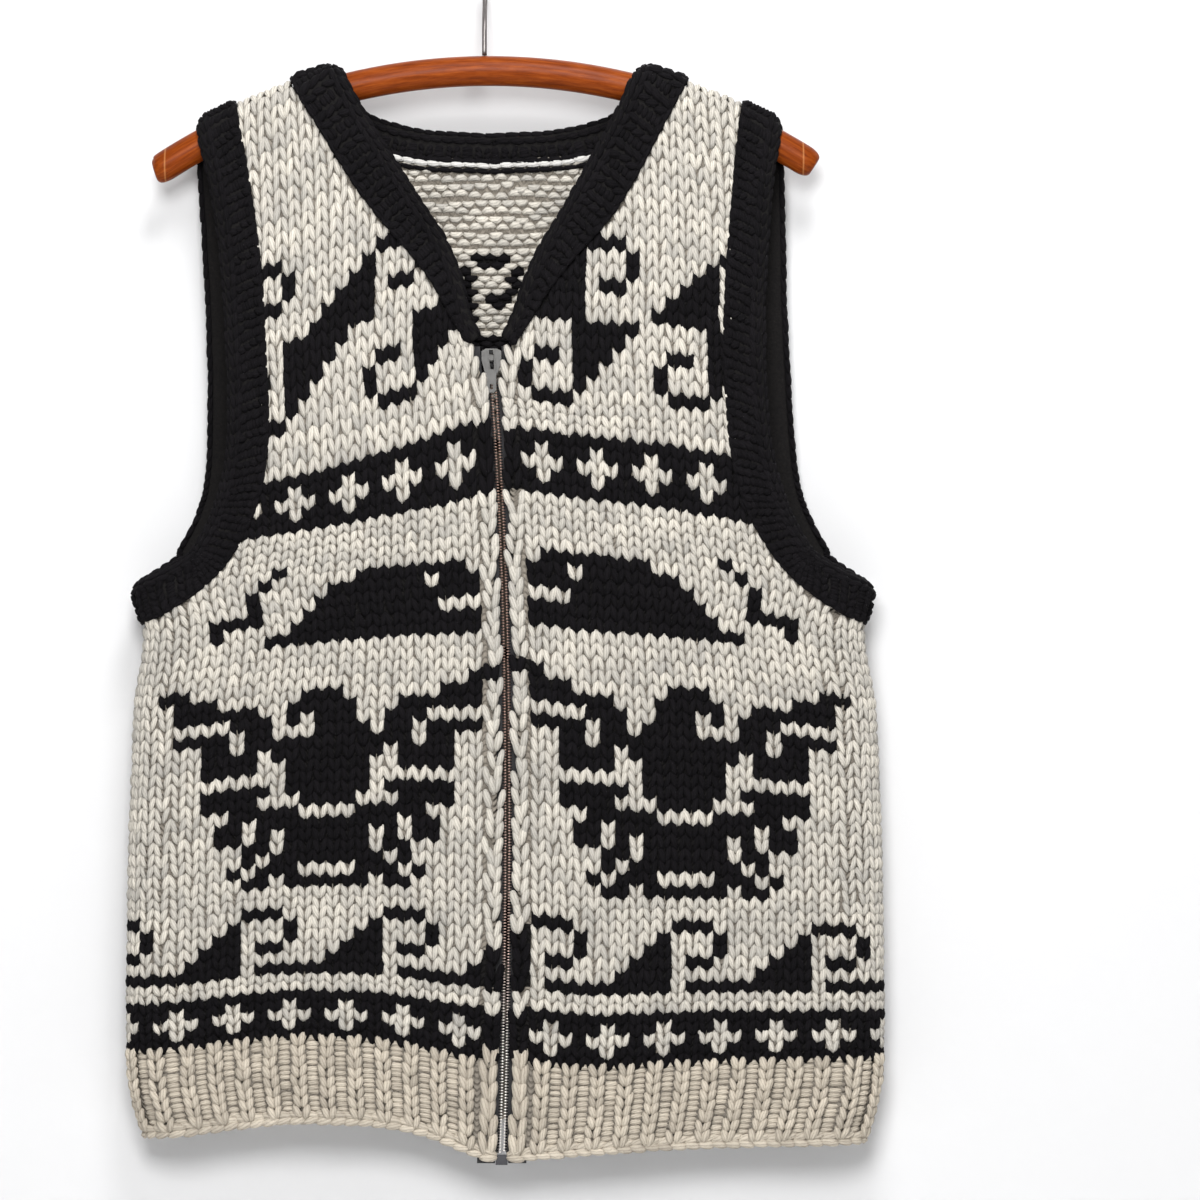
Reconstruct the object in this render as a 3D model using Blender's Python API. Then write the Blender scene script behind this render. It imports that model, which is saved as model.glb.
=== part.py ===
"""A hand-knitted sleeveless zip vest in bulky wool, hanging on a bent wooden hanger with a wire hook.

Metres, +Z up. The front faces -Y and the wearer's left side is at +X. The origin is the inside
crown of the hook's bend, where the hook rests on a rail or a nail.
"""

import math

import bmesh
import bpy
import numpy as np

MM = 0.001

# Hook and hanger
WIRE_R = 1.6 * MM
HOOK_R = 17.0 * MM
HOOK_CENTRE_Z = WIRE_R - HOOK_R
WOOD_TOP_Z = -60.4 * MM
DOWEL_R = 9.75 * MM
BOW_RADIUS = 390.0 * MM
BOW_HALF_SPAN = 214.5 * MM
BOW_TILT_X = 3.2 * MM
BOW_CENTRE_Z = WOOD_TOP_Z - DOWEL_R

# Cloth: gauge, walls and gaps
STITCHES = 28.0
CLOTH_T = 4.5 * MM
ARM_BAND_T = 7.0 * MM
NECK_BAND_T = 8.0 * MM
GAP = 0.3 * MM
RIDGE_R = 13.0 * MM
WRAP_END = 22.0 * MM
WRAP_STEPS = 5

# Body: half widths and half depths of the cloth's middle surface, against the drop below the zero line
ZERO_Z = -72.75 * MM
WIDTH_AT = ((0, 232), (300, 232), (336, 239.5), (356, 232), (376, 233), (406, 239), (504, 243),
            (610, 244.5), (650, 243.5), (668, 240), (684, 235), (704, 229))
DEPTH_AT = ((0, 13.0), (60, 15), (220, 20), (450, 20), (620, 18.5), (712, 17.5))
SIDE_FOLD = 30.0 * MM
LEAN = 10.4 * MM
LEAN_DROP = 400.0 * MM
ZIP_TOP = 178.8 * MM
ZIP_SPAN = 500.0 * MM
WAVE = 2.2 * MM
WAVE_LENGTH = 165.0 * MM

# Hem line and rib
HEM_DROP = 704.5 * MM
RIB_HEIGHT = 55.0 * MM
RIB_PULL = 10.0 * MM
RIB_PULL_REACH = 35.0 * MM
RIB_STITCHES = 2.0
RIB_LIFT = 1.3 * MM
RIB_POINTS = 3
HEM_RISE_LEFT = 14.0 * MM
HEM_REACH_LEFT = 100.0 * MM
HEM_RISE_RIGHT = 27.0 * MM
HEM_REACH_RIGHT = 48.0 * MM
HEM_CURVE_RIGHT = 1.6
HEM_FALL_RIGHT = 11.0 * MM
HEM_FALL_START = 120.0 * MM
HEM_BACK_RISE = 25.5 * MM
HEM_SIDE = 241.0 * MM

# Pattern lines, each point as (distance from the middle, drop), with the band's width there
NECK_FRONT = ((14, 175.5, 8), (24.7, 159, 11), (35, 141, 16), (49, 122, 21), (80.6, 84.5, 27), (111, 33, 27))
NECK_RIDGE = (127, 30)
NECK_BACK = ((110, 30, 22), (85, 45, 19), (45, 54, 18.5), (0, 56.5, 18.5))
ARM_FRONT = ((241, 356, 26), (222, 351, 27), (192, 330, 29), (170, 303, 29), (155, 268, 28.5),
             (149, 220, 25.5), (150.5, 140, 24), (158, 68, 23))
ARM_RIDGE = (165, 25)
ARM_BACK = ((164, 68, 26), (158, 140, 31), (157, 220, 34), (162, 265, 34.5), (177, 300, 33.5),
            (198, 328, 31), (224, 350, 27), (241, 356, 26))
ARM_SECTION = 6.5 * MM

# Zip
ZIP_EDGE = 6.5 * MM
ZIP_EDGE_RIB = 7.8 * MM
CHAIN_HALF = 3.0 * MM
CHAIN_T = 2.4 * MM
TAPE_OUT = 16.0 * MM
TAPE_T = 0.9 * MM
TAPE_LEVEL = -0.5 * CLOTH_T - GAP - 0.5 * TAPE_T
SLIDER_LENGTH = 16.5 * MM
SLIDER_CROWN = 6.4 * MM
SLIDER_FOOT = 4.4 * MM
SLIDER_BACK = -5.4 * MM
SLIDER_FRONT = -0.2 * MM
PIVOT_RISE = 1.3 * MM
PIVOT_DOWN = 6.0 * MM
STRAP_HALF = 1.2 * MM
STRAP_IN = 1.5 * MM
STRAP_OUT = 2.8 * MM
TAB_T = 1.2 * MM
TAB_HALF = 3.25 * MM
TAB_LENGTH = 22.5 * MM
TAB_WINDOW = 7.4 * MM
TAB_ARM_IN = 1.6 * MM
BOX_TOP = 700.0 * MM
BOX_TALL = 6.5 * MM
BOX_HALF = 3.85 * MM

SHARP_ANGLE = 40
LIGHT_WOOL = (0.60, 0.565, 0.51)
DARK_WOOL = (0.012, 0.011, 0.013)
WOOD = (0.42, 0.13, 0.03)
STEEL = (0.42, 0.41, 0.40)
TAPE_BLACK = (0.015, 0.015, 0.017)
BOX_GREY = (0.05, 0.05, 0.055)


def material(name, colour, roughness, metallic=0.0):
    """A Principled material of one colour."""
    made = bpy.data.materials.new(name)
    made.use_nodes = True
    shader = made.node_tree.nodes["Principled BSDF"]
    shader.inputs["Base Color"].default_value = (*colour, 1.0)
    shader.inputs["Roughness"].default_value = roughness
    shader.inputs["Metallic"].default_value = metallic
    return made


def solid(name, points, faces, look):
    """One closed body from points in world metres."""
    mesh = bpy.data.meshes.new(name)
    mesh.from_pydata(np.asarray(points).tolist(), [], [list(f) for f in faces])
    work = bmesh.new()
    work.from_mesh(mesh)
    bmesh.ops.recalc_face_normals(work, faces=work.faces)
    work.to_mesh(mesh)
    work.free()
    mesh.shade_smooth()
    mesh.set_sharp_from_angle(angle=math.radians(SHARP_ANGLE))
    mesh.materials.append(look)
    thing = bpy.data.objects.new(name, mesh)
    bpy.context.collection.objects.link(thing)
    return thing


def table(pairs, at):
    """A smooth reading of a short list of sizes in mm, rounded at its points by averaging nearby readings."""
    xs = np.array([p[0] for p in pairs]) * MM
    ys = np.array([p[1] for p in pairs]) * MM
    steps = np.linspace(-9.0, 9.0, 7) * MM
    return sum(np.interp(np.asarray(at) + step, xs, ys) for step in steps) / len(steps)


def ease(t):
    """A smooth rise from 0 to 1."""
    t = np.clip(t, 0.0, 1.0)
    return t * t * (3.0 - 2.0 * t)


# The cloth's middle surface


def bow_drop(x):
    """The drop of the hanger's centre line, an arc, run on straight past the hanger's ends."""
    inside = np.minimum(np.abs(x), BOW_HALF_SPAN)
    arc = ZERO_Z - BOW_CENTRE_Z + BOW_RADIUS - np.sqrt(BOW_RADIUS**2 - inside**2)
    return arc + 0.3 * (np.abs(x) - inside)


def over_hanger(c):
    """Where the cloth of a stitch column lies on the hanger: the ridge's drop, how tall the bend over the
    dowel is in an upright section, and the cloth's length from the ridge to the end of the bend."""
    x = np.minimum(np.abs(c) * STITCH, BOW_HALF_SPAN)
    tall = RIDGE_R / np.sqrt(1.0 - (x / BOW_RADIUS) ** 2)
    return bow_drop(c * STITCH) - tall, tall, 0.25 * math.pi * (RIDGE_R + tall)


def quarter(depth):
    """The length round a quarter of the side fold's ellipse."""
    a, b = SIDE_FOLD, depth
    return 0.25 * math.pi * (3.0 * (a + b) - np.sqrt((3.0 * a + b) * (a + 3.0 * b)))


STITCH = (table(WIDTH_AT, 0.1) - SIDE_FOLD + quarter(table(DEPTH_AT, 0.22))) / STITCHES


def pitch(drop):
    """The width of a stitch, which fits the same count into the girth at each height."""
    full = table(WIDTH_AT, drop) - SIDE_FOLD + quarter(table(DEPTH_AT, drop))
    return STITCH + (full / STITCHES - STITCH) * ease((drop - 0.25) / 0.08)


def wander(drop):
    """How far the zip strays from the middle line."""
    t = (drop - ZIP_TOP) / ZIP_SPAN
    path = -5.5 * MM + t * (23.2 - 19.0 * t) * MM
    return np.where(drop > ZIP_TOP, path, -5.5 * MM) * ease((drop - 0.09) / 0.09)


def drop_at(c, mu):
    """The drop of the cloth at a signed length mu from the ridge."""
    ridge, tall, bend = over_hanger(c)
    m = np.abs(mu)
    angle = 0.5 * math.pi * np.minimum(m / bend, 1.0)
    return ridge + tall * (1.0 - np.cos(angle)) + np.maximum(m - bend, 0.0)


def length_to(c, drop):
    """The cloth's length from the ridge down to a drop, the reverse of drop_at."""
    ridge, tall, bend = over_hanger(c)
    below = drop - ridge
    angle = np.arccos(np.clip(1.0 - below / tall, 0.0, 1.0))
    return np.where(below < tall, angle / (0.5 * math.pi) * bend, bend + below - tall)


def middle(side, c, mu):
    """A point of the cloth's middle surface. side is 1 for the wearer's left, c counts stitches from the
    middle line, and mu is the length from the ridge, negative in front. The cloth bends over the dowel,
    falls straight down while it spreads to the body's depth, and turns round the side in a quarter
    ellipse."""
    ridge, tall, bend = over_hanger(c)
    face = np.where(mu < 0.0, -1.0, 1.0)
    m = np.abs(mu)
    drop = drop_at(c, mu)
    angle = 0.5 * math.pi * np.minimum(m / bend, 1.0)
    spread = ease((m - bend) / 0.2)
    depth = RIDGE_R * np.sin(angle) + (table(DEPTH_AT, drop) - RIDGE_R) * spread
    s = c * pitch(drop)
    flat = table(WIDTH_AT, drop) - SIDE_FOLD
    turn = 0.5 * math.pi * np.maximum(s - flat, 0.0) / quarter(depth)
    x = np.minimum(s, flat) + SIDE_FOLD * np.sin(turn)
    roll = np.sin(2.0 * math.pi * s / WAVE_LENGTH + 1.1 * side + 1.7 * face)
    roll = roll * ease((s - 0.02) / 0.05) * ease((m - bend) / 0.12)
    depth = (depth + WAVE * roll * ease((flat + 0.01 - s) / 0.06)) * np.cos(turn)
    slide = LEAN * np.sin(0.5 * math.pi * np.clip((m - bend) / LEAN_DROP, 0.0, 1.0))
    pull = np.where(mu < 0.0, wander(drop), 0.0) * np.clip(1.0 - s / 0.22, 0.0, 1.0)
    px = BOW_TILT_X + side * x + slide + pull
    return np.stack([px, face * depth, ZERO_Z - drop], axis=-1)


def surface(side, c, mu, rise):
    """A point that stands off the middle surface by rise, outward."""
    c = np.asarray(c, dtype=float)
    mu = np.asarray(mu, dtype=float)
    rise = np.asarray(rise, dtype=float)
    step_c, step_m = 0.02, 0.2 * MM
    across = middle(side, c + step_c, mu) - middle(side, c - step_c, mu)
    along = middle(side, c, mu + step_m) - middle(side, c, mu - step_m)
    normal = np.cross(across, along) * side
    normal = normal / np.linalg.norm(normal, axis=-1, keepdims=True)
    return middle(side, c, mu) + normal * rise[..., None]


def hem_drop(side, s, back=False):
    """The drop of the cast-off edge. A front is lowest at the zip and settles higher beside it, the right
    one more sharply. The back hangs higher at its middle and meets the fronts at the sides."""
    if back:
        centre = HEM_DROP - HEM_BACK_RISE
        return centre + (hem_drop(side, HEM_SIDE) - centre) * (s / HEM_SIDE) ** 2
    if side > 0:
        return HEM_DROP - HEM_RISE_LEFT * (1.0 - np.exp(-s / HEM_REACH_LEFT))
    rise = HEM_RISE_RIGHT * (1.0 - np.exp(-((s / HEM_REACH_RIGHT) ** HEM_CURVE_RIGHT)))
    return HEM_DROP - rise + HEM_FALL_RIGHT * ease(s / HEM_FALL_START - 1.0)


def rib_height(s, back):
    """How tall the rib is: drawn longer beside the zip."""
    return RIB_HEIGHT + (0.0 if back else RIB_PULL * np.exp(-((s / RIB_PULL_REACH) ** 2)))


def body_length(side, c, back):
    """The length of a column from the ridge to the top of the rib."""
    s = c * STITCH
    return length_to(c, hem_drop(side, s, back) - rib_height(s, back))


def curve_through(knots, per_span):
    """Points on a smooth curve through the knots, per_span of them to each span, then the last knot."""
    knots = np.asarray(knots, dtype=float)
    first = 2.0 * knots[0] - knots[1]
    last = 2.0 * knots[-1] - knots[-2]
    k = np.vstack([first, knots, last])
    t = np.linspace(0.0, 1.0, per_span, endpoint=False)[:, None]
    spans = []
    for i in range(1, len(k) - 2):
        a, b, c, d = k[i - 1], k[i], k[i + 1], k[i + 2]
        spans.append(0.5 * (2 * b + (c - a) * t + (2 * a - 5 * b + 4 * c - d) * t**2
                            + (3 * b - a - 3 * c + d) * t**3))
    return np.vstack(spans + [knots[-1:]])


def pattern_line(front, ridge, back):
    """A neck or armhole line as (column, signed length, band width), cut in two at the ridge. Each half
    runs from its lower end up to the ridge."""
    knots = []
    for points, face in ((front, -1.0), (back, 1.0)):
        for s, d, wide in points:
            c = s * MM / float(pitch(d * MM))
            knots.append((c, face * float(length_to(c, d * MM)), wide * MM))
        if face < 0:
            knots.append((ridge[0] * MM / STITCH, 0.0, ridge[1] * MM))
    per_span = 24
    line = curve_through(knots, per_span)
    at = len(front) * per_span
    return line[:at + 1], line[at:][::-1]


def stations(line, count):
    """Points along a half line: even ones from its lower end to where the bend over the dowel begins, then
    finer ones to the ridge."""
    reach = np.abs(line[:, 1])
    step = np.hypot(np.diff(line[:, 0]) * STITCH, np.diff(line[:, 1]))
    far = np.concatenate([[0.0], np.cumsum(step)])
    bend_at = np.interp(-WRAP_END, -reach, far)
    where = np.linspace(0.0, bend_at, count + 1)
    lengths = np.linspace(WRAP_END, 0.5 * GAP, WRAP_STEPS + 1)[1:]
    where = np.concatenate([where, np.interp(-lengths, -reach, far)])
    return np.stack([np.interp(where, far, line[:, i]) for i in range(line.shape[1])], axis=1)


def joined(name, sheets, look):
    """One closed wall from sheets of (outer points, inner points), which share their common edge points."""
    outer, inner, quads = [], [], []
    base = 0
    for out_grid, in_grid in sheets:
        rows, cols = out_grid.shape[:2]
        index = np.arange(rows * cols).reshape(rows, cols) + base
        square = np.stack([index[:-1, :-1], index[:-1, 1:], index[1:, 1:], index[1:, :-1]], axis=-1)
        quads.append(square.reshape(-1, 4))
        outer.append(out_grid.reshape(-1, 3))
        inner.append(in_grid.reshape(-1, 3))
        base += rows * cols
    outer = np.vstack(outer)
    inner = np.vstack(inner)
    quads = np.vstack(quads)
    keys = np.round(np.hstack([outer, inner]) * 1e7).astype(np.int64)
    unique, first, back = np.unique(keys, axis=0, return_index=True, return_inverse=True)
    outer = outer[first]
    inner = inner[first]
    quads = back.reshape(-1)[quads]
    seen = {}
    for quad in quads.tolist():
        for a, b in zip(quad, quad[1:] + quad[:1]):
            seen.setdefault((min(a, b), max(a, b)), []).append((a, b))
    count = len(outer)
    faces = quads.tolist() + [[v + count for v in reversed(quad)] for quad in quads.tolist()]
    for uses in seen.values():
        if len(uses) == 1:
            a, b = uses[0]
            faces.append([b, a, a + count, b + count])
    return solid(name, np.vstack([outer, inner]), faces, look)


def wing(side, inner_line, outer_line, across, back):
    """The two faces of a panel's half, ruled between its inner edge and its outer edge. Both lines hold
    (column, signed length)."""
    u = np.asarray(across)[None, :]
    low_c, low_m = inner_line[:, 0:1], inner_line[:, 1:2]
    high_c, high_m = outer_line[:, 0:1], outer_line[:, 1:2]
    c = low_c + (high_c - low_c) * u
    row_low = 1.0 - np.abs(low_m) / body_length(side, low_c, back)
    row_high = 1.0 - np.abs(high_m) / body_length(side, high_c, back)
    row = row_low + (row_high - row_low) * u
    face = 1.0 if back else -1.0
    mu = face * np.maximum((1.0 - row) * body_length(side, c, back), 0.5 * GAP)
    return surface(side, c, mu, 0.5 * CLOTH_T + 0 * c), surface(side, c, mu, -0.5 * CLOTH_T + 0 * c)


def upright_edge(side, c, start, end, count, back):
    """Points up a column from a share of its length to the next line's first point."""
    face = 1.0 if back else -1.0
    lengths = np.linspace(start, end, count + 1)[:-1]
    return np.stack([c + 0 * lengths, face * lengths], axis=1)


SIDE_COLUMN = STITCHES - 0.5 * GAP / STITCH
ACROSS = np.concatenate([[0.0, 0.035, 0.085], np.linspace(0.17, 0.80, 5)[:-1], np.linspace(0.80, 1.0, 5)])
SIDE_ROWS = 9
ARM_ROWS = 16
NECK_ROWS = 7


def zip_edge_column(drop):
    """The front edge's column: close beside the zip, and open above towards the neck."""
    opening = np.clip((0.205 - drop) / 0.0295, 0.0, 1.0)
    return (ZIP_EDGE + 7.5 * MM * opening**1.5) / pitch(drop)


def panel_lines(side, back):
    """The inner and outer edge of a front, or of one half of the back."""
    neck_front, neck_back = pattern_line(NECK_FRONT, NECK_RIDGE, NECK_BACK)
    arm_front, arm_back = pattern_line(ARM_FRONT, ARM_RIDGE, ARM_BACK)
    neck = stations(neck_back if back else neck_front, NECK_ROWS)
    arm = stations(arm_back if back else arm_front, ARM_ROWS)
    arm[0, 0] = SIDE_COLUMN
    side_edge = upright_edge(side, SIDE_COLUMN, float(body_length(side, SIDE_COLUMN, back)),
                             abs(arm[0, 1]), SIDE_ROWS, back)
    outer_line = np.vstack([side_edge, arm[:, :2]])
    count = len(outer_line) - len(neck)
    if back:
        centre = upright_edge(side, 0.0, float(body_length(side, 0.0, back)), abs(neck[0, 1]), count, back)
        return np.vstack([centre, neck[:, :2]]), outer_line, neck, arm
    foot = float(hem_drop(side, 0.0) - rib_height(0.0, back))
    drops = np.linspace(foot, NECK_FRONT[0][1] * MM, count + 1)[:-1]
    column = zip_edge_column(drops)
    lengths = length_to(column, drops)
    lengths[0] = body_length(side, column[0], back)
    return np.vstack([np.stack([column, -lengths], axis=1), neck[:, :2]]), outer_line, neck, arm


def hem_rib(name, side_list, look, back):
    """The ribbed hem below a front or the back: plain inside, one raised rib to each two stitches."""
    sheets = []
    for side in side_list:
        low = 0.0 if back else ZIP_EDGE_RIB / float(pitch(HEM_DROP))
        low_seam = 0.0 if back else float(zip_edge_column(hem_drop(side, 0.0) - rib_height(0.0, back)))
        count = int((STITCHES / RIB_STITCHES) * RIB_POINTS)
        c = np.linspace(low, SIDE_COLUMN, count + 1)[None, :]
        t = np.array([0.0, 0.5, 1.0])[:, None]
        face = 1.0 if back else -1.0
        seam = low_seam + (SIDE_COLUMN - low_seam) * ACROSS
        edge = np.interp(c, seam, drop_at(seam, body_length(side, seam, back)))
        top = length_to(c, edge) + GAP
        end = body_length(side, c, back) + rib_height(c * STITCH, back)
        mu = face * (top + t * (end - top))
        lift = RIB_LIFT * (0.5 + 0.7 * np.cos(2.0 * math.pi * (c - SIDE_COLUMN) / RIB_STITCHES + math.pi))
        lift = lift * np.array([0.5, 1.0, 0.6])[:, None]
        out_grid = surface(side, c + 0 * mu, mu, 0.5 * CLOTH_T + lift)
        in_grid = surface(side, c + 0 * mu, mu, -0.5 * CLOTH_T + 0 * mu)
        sheets.append((out_grid, in_grid))
    return joined(name, sheets, look)


def band_half(side, line):
    """Where a band's cross-sections stand along a half line, from its lower end to the ridge: on straight
    runs between the cloth's own edge points, so that the band's side keeps its gap to the cloth."""
    c, mu, wide = line[:, 0], line[:, 1], line[:, 2]
    flat = np.stack([c * STITCH, mu], axis=1)
    tangent = np.gradient(flat, axis=0)
    tangent = tangent / np.linalg.norm(tangent, axis=1, keepdims=True)
    pieces = np.maximum(1, np.ceil(np.hypot(*np.diff(flat, axis=0).T) / ARM_SECTION)).astype(int)
    where = np.concatenate([i + np.arange(n) / n for i, n in enumerate(pieces)] + [[len(c) - 1.0]])
    index = np.arange(len(c))

    def along(values):
        return np.stack([np.interp(where, index, column) for column in np.atleast_2d(values.T)], axis=-1)

    low = along(surface(side, c, mu, -0.5 * CLOTH_T + 0 * c))
    high = along(surface(side, c, mu, 0.5 * CLOTH_T + 0 * c))
    return low, high, along(flat), along(tangent), along(wide)[:, 0]


def band_sections(side, line, thick, inward, inner_spans):
    """The points of each cross-section: a plain inner face in inner_spans spans, and a fuller outer face with
    a rib to each two stitches. inward is -1 where the free edge lies towards the middle line."""
    low, high, flat, tangent, wide = band_half(side, line)
    face = -1.0 if line[0, 1] < 0 else 1.0
    away = np.stack([tangent[:, 1], -tangent[:, 0]], axis=1) * inward * -face
    away = away / np.linalg.norm(away, axis=1, keepdims=True)
    tip = flat + away * wide[:, None]
    up = high - low
    up = up / np.linalg.norm(up, axis=1, keepdims=True)
    step = np.hypot(*np.diff(flat, axis=0).T)
    run = np.concatenate([[0.0], np.cumsum(step)])
    rib = RIB_LIFT * np.cos(2.0 * math.pi * run / (RIB_STITCHES * STITCH))
    out = []
    foot_mid = surface(side, flat[:, 0] / STITCH, flat[:, 1], 0 * run)
    tip_mid = surface(side, tip[:, 0] / STITCH, tip[:, 1], 0 * run)
    way = tip_mid - foot_mid
    way = way - up * np.sum(way * up, axis=1, keepdims=True)
    way = way / np.linalg.norm(way, axis=1, keepdims=True)
    shape = [(0.0, 0.0, 0.0), (0.0, 0.8, 0.0), (0.3, 0.93, 1.0), (0.8, 0.93, 0.6), (1.0, 0.6, 0.0)]
    shape += [(share, 0.0, 0.0) for share in np.linspace(1.0, 0.0, inner_spans + 1)[:-1]]
    for share, tall, lift in shape:
        rise = thick * tall + rib * lift
        if share == 0.0:
            out.append(low + way * GAP + up * rise[:, None])
            continue
        at = flat + away * (wide * share)[:, None]
        out.append(surface(side, at[:, 0] / STITCH, at[:, 1], rise - 0.5 * CLOTH_T))
    return np.stack(out, axis=1)


def ring_or_strip(name, sections, look, closed):
    """A closed body swept through its cross-sections, as a ring or as a strip with flat ends."""
    count, size = sections.shape[:2]
    index = np.arange(count * size).reshape(count, size)
    faces = []
    for i in range(count if closed else count - 1):
        a, b = index[i], index[(i + 1) % count]
        for j in range(size):
            k = (j + 1) % size
            faces.append([a[j], a[k], b[k], b[j]])
    if not closed:
        faces.append(index[0].tolist())
        faces.append(index[-1][::-1].tolist())
    return solid(name, sections.reshape(-1, 3), faces, look)


def tube(name, path, radii, sides, look):
    """A round body along a path, with a radius at each point and flat ends."""
    path = np.asarray(path, dtype=float)
    way = np.gradient(path, axis=0)
    way = way / np.linalg.norm(way, axis=1, keepdims=True)
    first = np.array([0.0, 1.0, 0.0]) if abs(way[0, 1]) < 0.5 else np.array([1.0, 0.0, 0.0])
    if np.ptp(path[:, 0]) < 1e-9:
        first = np.array([1.0, 0.0, 0.0])
    second = np.cross(way, first)
    second = second / np.linalg.norm(second, axis=1, keepdims=True)
    angle = 2.0 * math.pi * (np.arange(sides) + 0.5) / sides
    ring = np.cos(angle)[None, :, None] * first + np.sin(angle)[None, :, None] * second[:, None, :]
    sections = path[:, None, :] + ring * np.asarray(radii)[:, None, None]
    return ring_or_strip(name, sections, look, closed=False)


# Zip parts stand on the middle line of the two fronts


def zip_point(off, drop, rise):
    """A point beside the zip's middle line by off, at a drop, standing out by rise."""
    drop = np.asarray(drop, dtype=float)
    base = middle(1, 0.0 * drop, -length_to(0.0 * drop, drop))
    return base + np.stack([off + 0 * drop, -(rise + 0 * drop), 0 * drop], axis=-1)


def zip_strip(name, drops, near, far, back, front, look):
    """A flat strip down the zip, between two distances from its middle line and two levels."""
    sections = np.stack([zip_point(near, drops, front), zip_point(far, drops, front),
                         zip_point(far, drops, back), zip_point(near, drops, back)], axis=1)
    return ring_or_strip(name, sections, look, closed=False)


def prism(name, outline, low, high, place, look, hole_lists=()):
    """A plate with an outline of (across, along) points, between two levels, with straight holes."""
    work = bmesh.new()
    edges = []
    for loop in (outline, *hole_lists):
        verts = [work.verts.new(place(a, b, low)) for a, b in loop]
        edges += [work.edges.new((p, q)) for p, q in zip(verts, verts[1:] + verts[:1])]
    made = bmesh.ops.triangle_fill(work, use_beauty=True, edges=edges)
    flat = [g for g in made["geom"] if isinstance(g, bmesh.types.BMFace)]
    grown = bmesh.ops.extrude_face_region(work, geom=flat, use_keep_orig=True)
    moved = [g for g in grown["geom"] if isinstance(g, bmesh.types.BMVert)]
    shift = np.asarray(place(0.0, 0.0, high)) - np.asarray(place(0.0, 0.0, low))
    bmesh.ops.translate(work, verts=moved, vec=shift.tolist())
    bmesh.ops.recalc_face_normals(work, faces=work.faces)
    mesh = bpy.data.meshes.new(name)
    work.to_mesh(mesh)
    work.free()
    mesh.materials.append(look)
    thing = bpy.data.objects.new(name, mesh)
    bpy.context.collection.objects.link(thing)
    return thing


def rounded(half, start, end, corner):
    """A rectangle's outline with cut corners, from start to end along and half wide on each side."""
    return [(-half, start + corner), (-half + corner, start), (half - corner, start), (half, start + corner),
            (half, end - corner), (half - corner, end), (-half + corner, end), (-half, end - corner)]


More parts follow.
